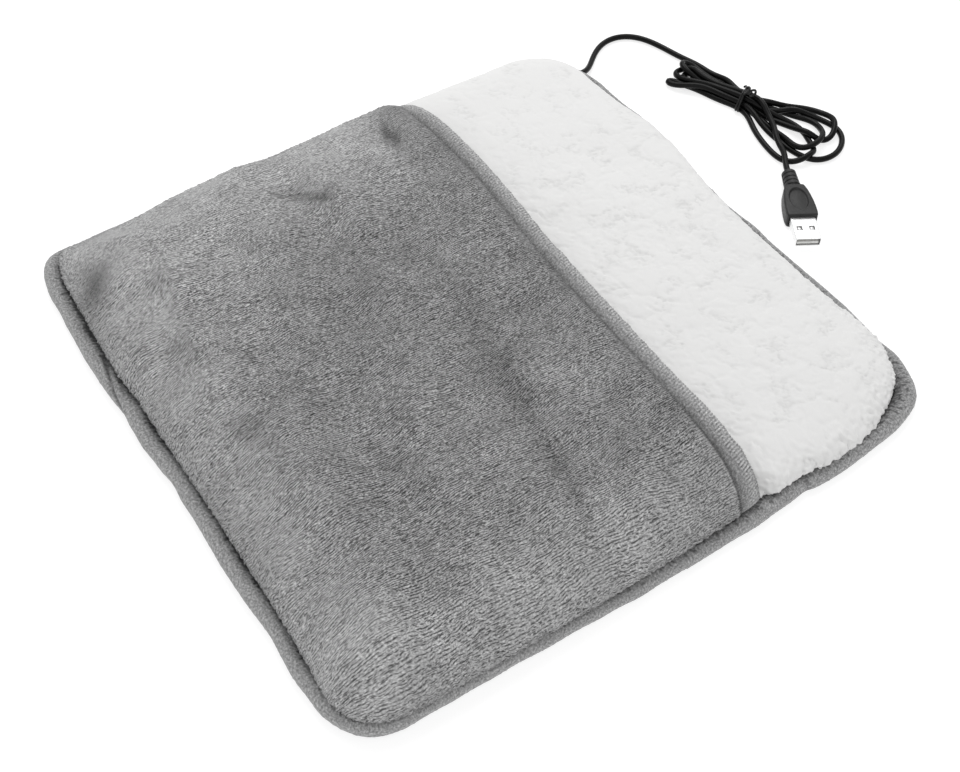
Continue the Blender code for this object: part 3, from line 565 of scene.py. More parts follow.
def soft_light(name, place, aim, size, power):
    data = bpy.data.lights.new(name, "AREA")
    data.shape, data.size, data.size_y, data.energy = "RECTANGLE", size[0], size[1], power
    ob = bpy.data.objects.new(name, data)
    ob.location = place
    ob.rotation_euler = (Vector(aim) - Vector(place)).to_track_quat("-Z", "Y").to_euler()
    bpy.context.scene.collection.objects.link(ob)
    return ob


soft_light("key", (-0.75, 0.35, 1.25), (0, 0, 0), (0.9, 0.9), 8.0)
soft_light("fill", (0.9, -0.9, 1.1), (0, 0, 0), (1.2, 1.2), 3.0)
soft_light("back", (-0.66, 1.02, 0.98), (0.03, 0.17, 0), (1.0, 1.0), 2.6)

# ================================================================ the lead
CORD_D = 3.0
TIE = np.array([-57.6, 203.4])
BUNDLE = math.radians(17.0)
ALONG = np.array([math.cos(BUNDLE), math.sin(BUNDLE)])
ACROSS = np.array([-math.sin(BUNDLE), math.cos(BUNDLE)])
# The nine runs through the tie: (place across, height).
SLOT = {"a": (4.5, 1.5), "b": (1.5, 1.5), "c": (-1.5, 1.5), "d": (-4.5, 1.5),
        "e": (3.0, 4.1), "f": (0.0, 4.1), "g": (-3.0, 4.1), "h": (1.5, 6.7), "i": (-1.5, 6.7)}


def through(slot, way):
    """Three points through the tie, towards the loops (way 1) or back towards the folds (way -1)."""
    s, z = SLOT[slot]
    return [(*(TIE + ALONG * a * way + ACROSS * s), z) for a in (-6.0, 0.0, 6.0)]


def cord_route():
    p = [(-115.8, 124.8, 6.2), (-117.4, 135.0, 5.7), (-119.5, 148.4, 4.7), (-121.2, 151.6, 4.2), (-124.2, 155.4, 3.2), (-128.6, 160.6, 2.0),
         (-133.6, 167.9, 1.5), (-136.2, 175.8, 1.5), (-135.4, 183.6, 1.5), (-130.8, 190.4, 1.5), (-122.4, 195.2, 1.5), (-110.6, 198.7, 1.5),
         (-96.9, 202.2, 1.6), (-85.0, 204.6, 2.3), (-74.0, 205.4, 3.3)]
    p += through("e", 1)
    # the widest loop at the top, then back to the folds
    p += [(-47.0, 211.8, 3.6), (-43.0, 218.6, 2.6), (-37.4, 226.4, 1.8), (-30.6, 231.2, 1.8), (-23.4, 232.4, 2.2), (-16.8, 230.4, 3.0), (-12.8, 226.2, 3.6),
          (-11.2, 221.0, 3.6), (-12.6, 217.0, 3.6), (-16.8, 214.4, 3.8), (-24.5, 212.4, 4.2), (-34.0, 210.6, 4.4), (-43.5, 208.0, 4.3)]
    p += through("f", -1)
    p += [(-72.0, 199.0, 4.0), (-82.0, 196.4, 4.4), (-90.5, 193.6, 5.2), (-95.2, 193.0, 5.2), (-98.2, 195.6, 4.4), (-97.0, 198.9, 3.0), (-92.0, 200.2, 1.8), (-82.0, 201.4, 1.5), (-71.0, 203.8, 1.5)]
    p += through("a", 1)
    # second loop
    p += [(-45.8, 210.4, 1.6), (-40.6, 213.8, 1.5), (-35.2, 219.4, 1.5), (-30.6, 222.8, 1.6), (-25.2, 224.0, 2.0), (-19.6, 222.8, 3.0), (-14.8, 219.4, 4.2),
          (-11.6, 215.4, 4.8), (-9.6, 210.2, 4.4), (-9.6, 205.0, 4.2), (-13.0, 201.4, 4.2), (-18.6, 200.2, 3.6), (-25.0, 200.6, 2.6), (-35.5, 201.6, 1.8), (-45.5, 202.0, 1.6)]
    p += through("c", -1)
    # hidden low fold
    p += [(-73.0, 197.4, 1.5), (-80.5, 193.4, 1.5), (-85.5, 189.6, 1.5), (-89.6, 188.8, 1.5), (-92.0, 191.6, 1.5), (-90.8, 195.0, 1.5), (-85.0, 196.8, 1.5), (-74.5, 200.2, 1.5)]
    p += through("b", 1)
    # third loop
    p += [(-44.0, 210.6, 1.9), (-38.4, 216.4, 3.0), (-33.6, 221.8, 4.2), (-28.0, 226.6, 4.6), (-22.6, 229.6, 4.0), (-17.0, 230.6, 2.2), (-12.0, 229.6, 1.5), (-6.8, 226.6, 1.5), (-2.8, 221.2, 1.5),
          (-0.9, 214.6, 1.5), (-1.8, 208.2, 1.5), (-5.2, 204.2, 1.5), (-9.6, 202.0, 1.5), (-16.0, 200.8, 1.5), (-23.0, 200.4, 1.9), (-34.0, 201.4, 3.6), (-44.5, 201.6, 4.2)]
    p += through("g", -1)
    p += [(-71.0, 195.2, 4.6), (-80.0, 189.8, 5.4), (-85.5, 184.8, 6.4), (-88.8, 181.8, 6.6), (-91.8, 180.3, 5.0), (-92.4, 182.4, 2.8), (-89.0, 184.4, 1.6), (-81.5, 188.4, 1.5), (-71.5, 194.2, 1.5)]
    p += through("d", 1)
    # fourth loop, the lowest
    p += [(-47.4, 198.8, 1.5), (-39.5, 195.6, 1.5), (-30.5, 192.8, 1.5), (-22.5, 191.3, 1.5), (-15.0, 191.3, 1.5), (-9.8, 192.8, 1.6), (-6.6, 195.8, 2.6), (-5.6, 199.6, 4.2),
          (-7.0, 204.8, 4.6), (-10.0, 209.8, 2.4), (-14.2, 212.6, 1.8), (-18.7, 213.8, 1.8), (-24.6, 214.4, 2.6), (-33.0, 212.4, 4.4), (-43.0, 208.4, 6.0)]
    p += through("i", -1)
    # open fold on top, then the tail to the plug
    p += [(-71.0, 197.6, 6.2), (-80.0, 191.8, 5.4), (-88.0, 186.6, 4.8), (-93.0, 185.6, 4.4), (-96.2, 188.4, 4.4), (-94.8, 192.4, 4.8), (-88.8, 194.8, 5.6), (-80.0, 197.0, 6.6), (-70.0, 200.6, 6.8)]
    p += through("h", 1)
    p += [(-44.8, 206.2, 7.2), (-36.8, 204.2, 7.2), (-28.8, 200.9, 7.0), (-21.6, 197.6, 7.0), (-14.8, 193.8, 6.0), (-9.6, 190.4, 4.8), (-6.2, 188.15, 4.4), (-3.5, 186.58, 4.25), (-1.3, 185.3, 4.2)]
    p = np.array(p, float)
    tips = smooth(-82, -91, p[:, 0])
    tips[:25] = 0
    p[:, 0] += 0.8 * tips
    p[:, 1] += 1.5 * tips
    return p


def even(line, step):
    run = np.concatenate([[0], np.cumsum(np.linalg.norm(np.diff(line, axis=0), axis=1))])
    at = np.linspace(0, run[-1], int(round(run[-1] / step)) + 1)
    return np.stack([np.interp(at, run, line[:, k]) for k in range(3)], axis=1)


def blurred(values, width):
    """Averages along the line; the ends stay as they are."""
    k = np.arange(-4 * int(width + 1), 4 * int(width + 1) + 1)
    w = np.exp(-0.5 * (k / width) ** 2)
    w /= w.sum()
    pad = len(k) // 2
    full = np.vstack([2 * values[:1] - values[pad:0:-1], values, 2 * values[-1:] - values[-2:-pad - 2:-1]])
    return np.stack([np.convolve(full[:, c], w, "valid") for c in range(values.shape[1])], axis=1)


def ease(line, d=CORD_D, rounds=46):
    """Takes the last kinks out: contacts part the runs in long soft bends, and the cord keeps its length."""
    x = even(line, 1.0)
    n = len(x)
    h = np.linalg.norm(np.diff(x, axis=0), axis=1).mean()
    far = 7
    ends = np.minimum(np.arange(n), np.arange(n)[::-1])
    free = smooth(0, 10, ends)[:, None]
    reach = d * 0.99
    for k in range(rounds):
        if k % 8 == 0:
            dist = np.linalg.norm(x[:, None] - x[None], axis=2)
            i, j = np.nonzero(np.triu(dist < reach + 1.0, far))
        v = x[j] - x[i]
        length = np.maximum(np.linalg.norm(v, axis=1), 1e-6)
        c = (np.maximum(reach - length, 0) / length * 0.5)[:, None] * v
        move, count = np.zeros_like(x), np.zeros(n)
        np.add.at(move, i, -c)
        np.add.at(move, j, c)
        hit = reach > length
        np.add.at(count, i[hit], 1)
        np.add.at(count, j[hit], 1)
        move = move / np.maximum(count, 1)[:, None]
        move[:, 2] += np.maximum(d / 2 + 0.02 - x[:, 2] - move[:, 2], 0)
        x += blurred(move, 2.4) * free * 1.25
        for _ in range(2):
            soft = x + 0.6 * (blurred(x, 1.8) - x) * free
            x = soft + 0.606 * (soft - blurred(soft, 1.8)) * free
        x[:, 2] += 0.10 * free[:, 0] * (blurred(x, 3.0)[:, 2] - x[:, 2])
        for _ in range(5):
            v = np.diff(x, axis=0)
            length = np.linalg.norm(v, axis=1)
            c = (0.5 * (length - h) / length)[:, None] * v
            move = np.zeros_like(x)
            move[:-1] += c
            move[1:] -= c
            x += 0.5 * move * free
    x = x + 0.5 * (blurred(x, 1.2) - x) * free
    x[:, 2] = np.maximum(x[:, 2], d / 2 + 0.01)
    return even(x, 1.0)


def settle(line, rounds=260, d=CORD_D):
    """Lays the cord down: it keeps its length, bends softly, and rests on the surface and on itself."""
    x, goal, n = line.copy(), line.copy(), len(line)
    h = np.linalg.norm(np.diff(x, axis=0), axis=1).mean()
    far = int(np.ceil(d / h * 1.9))
    run = np.arange(n) * h
    # held inside the pad's corner and just out of it, and straight into the plug
    fixed = np.maximum(np.clip((34 - run) / 12, 0, 1), np.clip((run - run[-1] + 14) / 11, 0, 1))
    at = (np.abs((x[:, :2] - TIE) @ ALONG) < 3.5) & (np.abs((x[:, :2] - TIE) @ ACROSS) < 9)
    hold = np.where(at, 0.25, 0.02)
    free, reach = 1 - fixed, d * 1.02
    for k in range(rounds):
        if k % 8 == 0:
            dist = np.linalg.norm(x[:, None] - x[None], axis=2)
            i, j = np.nonzero(np.triu(dist < reach + 1.2, far))
        x[:, 2] -= 0.03 * free * (~at)
        x[:, :2] += (hold * free)[:, None] * (goal - x)[:, :2]
        x[:, 2] += (np.where(at, 0.15, 0.0) * free) * (goal - x)[:, 2]
        for pull in (0.55, -0.555) * 3:                         # bends softly, without shrinking the loops
            mid = (x[:-2] + x[2:]) / 2
            x[1:-1] += (pull * free[1:-1])[:, None] * (mid - x[1:-1])
        for _ in range(6):                                      # keeps its length
            v = np.diff(x, axis=0)
            length = np.linalg.norm(v, axis=1)
            c = (0.5 * (length - h) / length)[:, None] * v
            move = np.zeros_like(x)
            move[:-1] += c
            move[1:] -= c
            x += 0.5 * move * free[:, None]
        for _ in range(3):                                      # rests on itself
            v = x[j] - x[i]
            length = np.maximum(np.linalg.norm(v, axis=1), 1e-6)
            push = np.maximum(reach - length, 0) / length * 0.5
            c = push[:, None] * v
            move, count = np.zeros_like(x), np.zeros(n)
            np.add.at(move, i, -c)
            np.add.at(move, j, c)
            hit = push > 0
            np.add.at(count, i[hit], 1)
            np.add.at(count, j[hit], 1)
            x += move / np.maximum(count, 1)[:, None] * free[:, None] * 0.9
        x[:, 2] = np.maximum(x[:, 2], d / 2 + 0.02)
    return x


cord_line = ease(settle(even_curve(cord_route(), 1.5)))

# Soft black vinyl: smooth, slightly uneven gloss, a little paler where it is dusty.
jacket = Look("cord_vinyl", (0.005, 0.005, 0.005), 0.34, Specular_IOR_Level=0.14, Coat_Weight=0.0)
co = object_coords(jacket)
mottle = jacket.noise(co, 420, 3, 0.6)
jacket.link(jacket.grey(jacket.range(mottle, 0.3, 0.75, 0.0028, 0.0062)), "Base Color")
jacket.link(jacket.range(jacket.noise(co, 160, 2), 0.3, 0.7, 0.24, 0.34), "Roughness")
jacket.link(jacket.bump(jacket.noise(co, 1500, 2), 0.00003, 0.35), "Normal")

lead = curve_object("power_lead", [cord_line], CORD_D, jacket.m, sides=6)
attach(lead, "base")
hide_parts("cord_lead", "cord_folds", "cord_loops", "cord_tail")

# ================================================================ the twist tie
tie_look = Look("tie_plastic", (0.008, 0.008, 0.008), 0.32, Specular_IOR_Level=0.3)
co = object_coords(tie_look)
tie_look.link(tie_look.grey(tie_look.range(tie_look.noise(co, 600, 2), 0.3, 0.7, 0.005, 0.012)), "Base Color")
tie_look.link(tie_look.bump(tie_look.noise(co, 1800, 2), 0.00004, 0.5), "Normal")


def at_tie(along_mm, across_mm, z):
    q = TIE + ALONG * along_mm + ACROSS * across_mm
    return np.array([q[0], q[1], z])


# One turn and a half of flat covered wire round the nine runs, a little askew, then both ends twisted together on top.
# (place across, height) round the bundle, from the top back edge over the back, under it and up the front.
hug = [(2.6, 9.3), (4.7, 8.3), (6.0, 6.2), (7.1, 3.6), (7.3, 1.7), (6.2, 0.75), (3.0, 0.62), (-3.0, 0.62), (-6.2, 0.8), (-7.4, 1.9), (-7.1, 3.8),
       (-5.6, 6.0), (-4.4, 7.6), (-2.7, 9.1), (0.0, 9.35), (2.2, 9.5)]
turns = []
for k, (s, z) in enumerate(hug):
    skew = -0.14 * s + (k / (len(hug) - 1) - 0.5) * 1.5
    turns.append(at_tie(skew, s, z))
wrap = even_curve(turns, 0.35)
second = even_curve([at_tie(1.55 - 0.14 * s, s * 1.015, z + 0.06) for s, z in hug[8:]] , 0.35)

# the two ends twisted together once, then each bent round into a small loop
twist = []
for knot in (
        [(-53.9, 200.9, 9.7), (-55.0, 202.0, 10.3), (-55.9, 203.0, 10.6), (-56.2, 203.9, 11.3), (-55.5, 204.5, 12.1), (-54.3, 204.2, 12.2), (-53.6, 203.2, 11.5), (-53.7, 202.2, 10.7), (-54.7, 201.5, 10.2)],
        [(-54.4, 200.6, 10.2), (-53.7, 202.1, 10.6), (-53.2, 203.6, 11.3), (-52.6, 204.9, 12.0), (-51.6, 205.5, 12.2), (-50.6, 205.0, 11.8), (-50.1, 203.8, 11.0), (-50.7, 202.9, 10.3), (-51.9, 202.7, 10.0), (-53.0, 203.3, 10.2)],
        [(-55.6, 201.6, 9.6), (-54.6, 202.6, 9.9), (-53.4, 202.4, 10.3), (-52.5, 203.2, 10.7), (-52.2, 204.3, 11.0)]):
    twist.append(even_curve(knot, 0.25))
tie = curve_object("twist_tie", [wrap, second] + twist, 1.2, tie_look.m, sides=4)
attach(tie, "base")
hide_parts("cord_tie")

# ================================================================ the plug
plug_look = Look("plug_vinyl", (0.03, 0.03, 0.03), 0.40, Specular_IOR_Level=0.35)
co = object_coords(plug_look)
plug_look.link(plug_look.grey(plug_look.range(plug_look.noise(co, 250, 4, 0.6), 0.3, 0.7, 0.014, 0.022)), "Base Color")
plug_look.link(plug_look.range(plug_look.noise(co, 900, 3), 0.3, 0.7, 0.40, 0.52), "Roughness")
plug_look.link(plug_look.bump(plug_look.noise(co, 2600, 3, 0.6), 0.00004, 0.45), "Normal")

PLUG = np.array([-1.3, 185.3, 4.2])
PLUG_TURN = math.radians(-30.2)
RELIEF_L, BODY_END = 11.9, 34.4
px_, py_ = np.array([math.cos(PLUG_TURN), math.sin(PLUG_TURN), 0]), np.array([-math.sin(PLUG_TURN), math.cos(PLUG_TURN), 0])


def from_plug(p):
    p = np.asarray(p, float)
    return PLUG + p[..., :1] * px_ + p[..., 1:2] * py_ + p[..., 2:3] * np.array([0, 0, 1.0])


def section(w, h, r, top=40, side=6, arc=8):
    """A rounded rectangle of half width w and half height h, as points (y, z), anticlockwise from the right side."""
    r = min(r, w, h)
    pts = []
    for (cy, cz, a0, run) in ((w - r, h - r, 0, top), (-(w - r), h - r, 90, side), (-(w - r), -(h - r), 180, top), (w - r, -(h - r), 270, side)):
        for k in range(arc):
            a = math.radians(a0 + 90 * k / arc)
            pts.append((cy + r * math.cos(a), cz + r * math.sin(a)))
        a = math.radians(a0 + 90)
        here = (cy + r * math.cos(a), cz + r * math.sin(a))
        nxt = {0: (-(w - r), h), 90: (-w, -(h - r)), 180: (w - r, -h), 270: (w, h - r)}[a0]
        for k in range(run):
            f = k / run
            pts.append((here[0] + (nxt[0] - here[0]) * f, here[1] + (nxt[1] - here[1]) * f))
    return np.array(pts)


body_x = [11.0, 12.5, 16.0, 20.0, 24.0, 28.0, 31.5, 33.4, 34.4]
body_w = [3.7, 4.7, 5.95, 6.75, 7.3, 7.6, 7.65, 7.4, 7.0]
rings = []
for x in np.concatenate([np.arange(0, 12.2, 0.12), np.arange(12.3, 33.6, 0.3), [33.7, 33.9, 34.1, 34.25, 34.35, BODY_END]]):
    rib = 0.0
    for k in range(4):
        mid_x = RELIEF_L - 0.75 - k * 2.75 - 0.85
        rib = max(rib, float(smooth(1.22, 0.86, abs(x - mid_x))))
    if x < 11.7:
        w = h = r = 2.85 + 0.62 * min(1, x / 11.6) + rib * 0.62
        if x < 0.6:
            w = h = r = w * (0.86 + 0.14 * math.sqrt(1 - (1 - x / 0.6) ** 2))
    else:
        f = float(smooth(11.7, 13.2, x))
        w = 3.45 * (1 - f) + np.interp(x, body_x, body_w) * f
        h = 3.45 + 0.53 * f
        r = h * (1 - f) + 1.2 * f
        end = max(0.0, x - 33.6) / 0.8
        if end > 0:
            cut = 0.6 * (1 - math.sqrt(max(0.0, 1 - min(end, 1.0) ** 2)))
            w, h = w - cut, h - cut
    yz = section(w, h, r)
    p = np.column_stack([np.full(len(yz), x), yz])
    if x > 14.5:                                                  # crowned faces, and the bare oval dish on both
        y = p[:, 1]
        face = np.abs(yz[:, 1]) > h - 0.02
        e = np.hypot((x - 23.0) / 7.3, y / 4.4)
        dish = 0.95 * smooth(1.04, 0.95, e) * (1 - 0.45 * smooth(0.93, 0.0, e)) - 0.08 * np.exp(-((e - 1.10) / 0.05) ** 2)
        crown = 0.16 * (1 - (y / w) ** 2)
        p[:, 2] += np.where(face, np.sign(yz[:, 1]) * (crown - dish), 0)
    rings.append(p)
seat_x = [34.4, 34.4, 34.2, 30.0]
seat = [(6.6, 2.9), (6.35, 2.6), (6.25, 2.5), (6.25, 2.5)]
for x, (w, h) in zip(seat_x, seat):
    yz = section(w, h, 0.7)
    rings.append(np.column_stack([np.full(len(yz), x), yz]))
overmould = tube_grid("plug_body", from_plug(np.array(rings)), plug_look.m, closed_path=False, cap=True)
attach(overmould, "base")
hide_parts("usb_overmould")

steel = Look("plated_steel", (0.90, 0.90, 0.90), 0.34, Metallic=0.85)
co = object_coords(steel)
steel.link(steel.grey(steel.range(steel.noise(co, 300, 3), 0.3, 0.7, 0.89, 0.93)), "Base Color")
steel.link(steel.range(steel.noise(steel.stretch(co, (1.0, 1.0, 1.0)), 400, 2, 0.5), 0.3, 0.7, 0.32, 0.38), "Roughness")
steel.link(steel.bump(steel.noise(co, 500, 2), 0.000005, 0.2), "Normal")

# The metal shell: a folded box with rounded corners and two windows in each broad side.
SHELL_W, SHELL_H, SHELL_L, SHELL_X = 6.0, 2.25, 18.7, 30.2
tip = SHELL_X + SHELL_L
r = 0.55
across_at = sorted(set([-(SHELL_W - r), SHELL_W - r, -4.3, -1.7, 1.7, 4.3, 0.0] + list(np.linspace(-(SHELL_W - r), SHELL_W - r, 23).round(3))))
loop = []
for y in across_at:
    loop.append((y, SHELL_H))
for k in range(1, 6):
    a = math.radians(90 - 90 * k / 6)
    loop.append((SHELL_W - r + r * math.cos(a), SHELL_H - r + r * math.sin(a)))
for z in np.linspace(SHELL_H - r, -(SHELL_H - r), 6):
    loop.append((SHELL_W, z))
for k in range(1, 6):
    a = math.radians(-90 * k / 6)
    loop.append((SHELL_W - r + r * math.cos(a), -(SHELL_H - r) + r * math.sin(a)))
for y in reversed(across_at):
    loop.append((y, -SHELL_H))
for k in range(1, 6):
    a = math.radians(-90 - 90 * k / 6)
    loop.append((-(SHELL_W - r) + r * math.cos(a), -(SHELL_H - r) + r * math.sin(a)))
for z in np.linspace(-(SHELL_H - r), SHELL_H - r, 6):
    loop.append((-SHELL_W, z))
for k in range(1, 6):
    a = math.radians(180 - 90 * k / 6)
    loop.append((-(SHELL_W - r) + r * math.cos(a), SHELL_H - r + r * math.sin(a)))
loop = np.array(loop)
stations = np.array(sorted(set(np.linspace(SHELL_X, tip - 0.25, 40).round(3)) | {round(tip - 8.75, 3), round(tip - 6.05, 3)} | {tip - 0.12, tip}))
flare = np.interp(stations, [tip - 0.5, tip], [0, -0.10])
verts = np.array([[(x, y * (1 + f / SHELL_W), z * (1 + f / SHELL_H)) for y, z in loop] for x, f in zip(stations, flare)])
# a small dimple near the tip
dx, dy = verts[..., 0] - (tip - 2.3), verts[..., 1]
verts[..., 2] -= np.where(verts[..., 2] > SHELL_H - 0.01, 0.14 * np.exp(-((dx / 0.5) ** 2 + (dy / 0.5) ** 2)), 0)
n, m = verts.shape[:2]
idx = np.arange(n * m).reshape(n, m)
quads = []
for i in range(n - 1):
    for j in range(m):
        k = (j + 1) % m
        c = (verts[i, j] + verts[i, k] + verts[i + 1, j] + verts[i + 1, k]) / 4
        if abs(c[2]) > SHELL_H - 0.1 and tip - 8.75 < c[0] < tip - 6.05 and 1.7 < abs(c[1]) < 4.3:
            continue
        quads.append((idx[i, j], idx[i + 1, j], idx[i + 1, k], idx[i, k]))
count = n * m
tabs, tab_quads = [], []
for sy in (-1, 1):                                              # the spring tabs seen through the windows, bent inwards a little
    for sz in (-1, 1):
        start = count + len(tabs)
        for x, z in ((tip - 8.9, 1.93), (tip - 7.6, 1.88), (tip - 6.35, 1.80)):
            for y in (-1.1, 1.1):
                tabs.append((x, sy * 3.0 + y, sz * z))
        for k in range(2):
            a = start + 2 * k
            tab_quads.append((a, a + 2, a + 3, a + 1) if sz > 0 else (a, a + 1, a + 3, a + 2))
shell = make_mesh("plug_shell", from_plug(np.vstack([verts.reshape(-1, 3), np.array(tabs)])), quads + tab_quads, None, steel.m)
shell.data.set_sharp_from_angle(angle=math.radians(40))
wall = shell.modifiers.new("wall", "SOLIDIFY")
wall.thickness, wall.offset, wall.use_even_offset = 0.3 * MM, -1.0, True
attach(shell, "base")
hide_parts("usb_shell")


# ================================================================ materials of the pad
def plush_look(name, level):
    """Brushed pile. The vertex numbers: "pile" for tips and gaps, the gaps painted a little darker as shade, a
    brightness number for how the nap lies, which also holds painted light and painted shade, "depth" for how open the
    pile is.
    Finer fibres, and the painted shade in the small gaps between them, come from noise stretched along the nap."""
    k = Look(name, (level,) * 3, 0.92, Specular_IOR_Level=0.08, Sheen_Weight=0.12, Sheen_Roughness=0.5)
    pile, brightness_and_painted_light, depth, nap = k.attribute("pile"), k.attribute("brightness_and_painted_light"), k.attribute("depth"), k.attribute("nap", True)
    # rows of fibres about 1 mm apart, bent a little, with painted shade in the thin gaps between them, which start and
    # stop
    across = k.new("SeparateXYZ", Vector=nap).outputs["X"]
    rows = None
    for period, shift, deep in ((0.00102, 0.0, 1.0), (0.00088, 0.037, 0.8)):
        moved = k.new("VectorMath", Vector=nap)
        moved.inputs[1].default_value = (shift, 2 * shift, 0.0)
        bend = k.noise(k.stretch(moved.outputs[0], (300, 100, 200)), 1.0, 0.6, 0.5)
        phase = k.math("ADD", k.math("MULTIPLY", across, 2 * math.pi / period), k.range(bend, 0.3, 0.7, -2.5, 2.5))
        breaks = k.range(k.noise(k.stretch(moved.outputs[0], (1500, 560, 840)), 1.0, 1.0, 0.5), 0.42, 0.62, 0.02, deep)
        line = k.math("MULTIPLY", k.math("POWER", k.range(k.math("SINE", phase), -1.0, 1.0, 1.0, 0.0), 3.4), breaks)
        rows = line if rows is None else k.math("MAXIMUM", rows, line)
    grain = k.noise(k.stretch(nap, (2700, 1150, 1600)), 1.0, 1.0, 0.5)
    # painted shade: the low places of the pile's relief a little darker, and the gaps between the rows of fibres much
    # darker
    value = k.math("ADD", k.math("MULTIPLY", pile, 0.10), k.range(grain, 0.3, 0.7, -2.6, 2.6))
    value = k.math("ADD", value, k.math("MULTIPLY", rows, -11.0))
    value = k.math("MULTIPLY", value, depth)
    # the brightness number brings painted light along the edges and painted shade in the dents and near the hem and
    # seam
    value = k.math("MULTIPLY", k.math("POWER", 1.26, value), k.math("MULTIPLY", brightness_and_painted_light, level))
    k.link(k.grey(value, (1.0, 1.0, 1.004)), "Base Color")
    k.link(k.bump(rows, -0.0002, 0.30), "Normal")
    return k


plush = plush_look("grey_plush", 0.316)
under_plush = plush_look("grey_plush_base", 0.316)


def sherpa_look(name):
    k = Look(name, (0.80, 0.80, 0.80), 0.95, Specular_IOR_Level=0.10, Sheen_Weight=0.25, Sheen_Roughness=0.5)
    painted_fleece_shade, nap = k.attribute("painted_fleece_shade"), k.attribute("nap", True)
    fibre = k.noise(nap, 1900, 3.0, 0.65)
    knots = k.noise(nap, 620, 2.0, 0.5, 0.8)
    # painted shade: the cracks between the curls are darker, and on the sole also its edge at the seam
    value = k.math("ADD", k.range(painted_fleece_shade, 0.0, 1.0, 0.66, 0.80), k.range(fibre, 0.3, 0.7, -0.008, 0.008))
    k.link(k.grey(value, (1.0, 0.998, 0.992)), "Base Color")
    k.link(k.bump(fibre, 0.00010, 0.20, k.bump(knots, 0.0004, 0.12)), "Normal")
    k.b.inputs["Subsurface Weight"].default_value = 0.0
    return k


sherpa = sherpa_look("white_sherpa")


def tape_look(name, level):
    """Short-pile tape: "pile" follows the mesh's own relief and also carries painted light and shade, "nap" runs
    (along, across, 0) in metres.
    """
    k = Look(name, (level,) * 3, 0.88, Specular_IOR_Level=0.15, Sheen_Weight=0.22, Sheen_Roughness=0.4)
    pile, nap = k.attribute("pile"), k.attribute("nap", True)
    grain = k.noise(k.stretch(nap, (1150, 950, 900)), 1.0, 2.0, 0.7)
    patch = k.noise(k.stretch(nap, (330, 260, 200)), 1.0, 2.0, 0.5)
    value = k.math("ADD", k.math("MULTIPLY", pile, 0.7), k.range(grain, 0.28, 0.72, -3.4, 3.4))
    value = k.math("ADD", value, k.range(patch, 0.3, 0.7, -0.35, 0.35))
    value = k.math("MULTIPLY", k.math("POWER", 1.2, value), level)
    k.link(k.grey(value, (1.0, 1.0, 1.003)), "Base Color")
    k.link(k.bump(grain, 0.0002, 0.6, k.bump(patch, 0.0004, 0.4)), "Normal")
    return k


tape = tape_look("grey_tape", 0.30)

wadding = Look("wadding", (0.86, 0.86, 0.84), 0.95, Specular_IOR_Level=0.1)
co = object_coords(wadding)
wadding.link(wadding.grey(wadding.range(wadding.noise(wadding.stretch(co, (400, 400, 1500)), 1.0, 4, 0.6), 0.3, 0.7, 0.74, 0.88), (1, 1, 0.97)), "Base Color")
wadding.link(wadding.bump(wadding.noise(co, 900, 4, 0.65), 0.0005, 0.6), "Normal")

# ================================================================ noise fields
streak = Noise(11, (0.33, 0.5), 1.35, (512, 1024), long=1.7, band=0.42)
tuft = Noise(12, (0.5, 0.8), 2.9, (384, 768), long=3.4, band=0.45)
fuzz = Noise(13, (0.35, 0.35), 1.3, (512, 512), band=0.45)
sway_x = Noise(14, (3.0, 3.0), 46.0, (128, 128))
sway_y = Noise(15, (3.0, 3.0), 52.0, (128, 128))
patchy = Noise(16, (2.0, 2.0), 26.0, (256, 256), band=0.5)
broad = Noise(17, (4.0, 4.0), 80.0, (128, 128), band=0.5)
jag = Noise(18, (0.4, 0.4), 3.2, (512, 512), band=0.40)
jitter_x = Noise(19, (0.8, 0.8), 7.0, (384, 384), band=0.5)


def nap_of(x, y):
    """Places in the cloth bent by the way that the nap has been brushed."""
    wx = x + 0.9 * sway_x(x, y) + 0.10 * jitter_x(x, y)
    wy = y + 0.8 * sway_y(x, y)
    for cx, cy, reach, amount in ((-88, -30, 16, 3.6), (-70, -116, 11, 3.4), (-40, -121, 9, 2.2), (-97, -134, 12, 2.6), (-108, 22, 13, 2.6), (62, -16, 12, 1.6), (20, -96, 14, -1.6)):
        dx, dy = x - cx, y - cy
        g = np.exp(-(dx ** 2 + dy ** 2) / (2 * reach ** 2))
        wx = wx + amount * g * np.sin(dy / reach * 1.7)
        wy = wy - amount * 0.5 * g * np.sin(dx / reach * 1.7)
    return wx, wy


# Painted shade in the filling's dents (the same places as in dents_of), a little painted light on its one swelling, and
# other soft darker and lighter places of the brushed pile: (x, y, half length, half width, turn, amount), seen from
# above.
SHADE_AND_NAP_SPOTS = ((-99.5, -134, 9.5, 5.0, -0.40, -1.05), (-76, -113.5, 8, 4.0, 0.3, -0.34), (-38.5, -123.5, 6, 4.4, 0.2, -0.40), (18.5, -121, 7, 4.5, 0.4, -0.30),
         (-90.5, -36, 9, 2.2, 0.90, -0.50), (-85.5, -25, 5, 2.2, -1.2, -0.42), (-107, 20.3, 7, 2.0, -0.42, -0.66), (-99.5, 21.5, 7, 1.8, -0.41, -0.50),
         (56, -19, 23, 7.5, -0.12, -0.26), (110, -28.5, 21, 2.8, -0.20, -0.31), (66, -3, 12, 6, 0, 0.10), (-18, -46, 26, 14, 0.2, -0.10), (-18, -12, 24, 12, 0.1, -0.11),
         (100, -100, 30, 14, 0, -0.04), (-118, -60, 10, 30, 0, 0.06), (-112, -8, 12, 12, 0, 0.08))


def spots(x, y, places):
    total = 0.0
    for cx, cy, rx, ry, turn_by, amount in places:
        c, s_ = math.cos(turn_by), math.sin(turn_by)
        dx, dy = x - cx, y - cy
        total = total + amount * np.exp(-0.5 * (((dx * c + dy * s_) / rx) ** 2 + ((-dx * s_ + dy * c) / ry) ** 2))
    return total


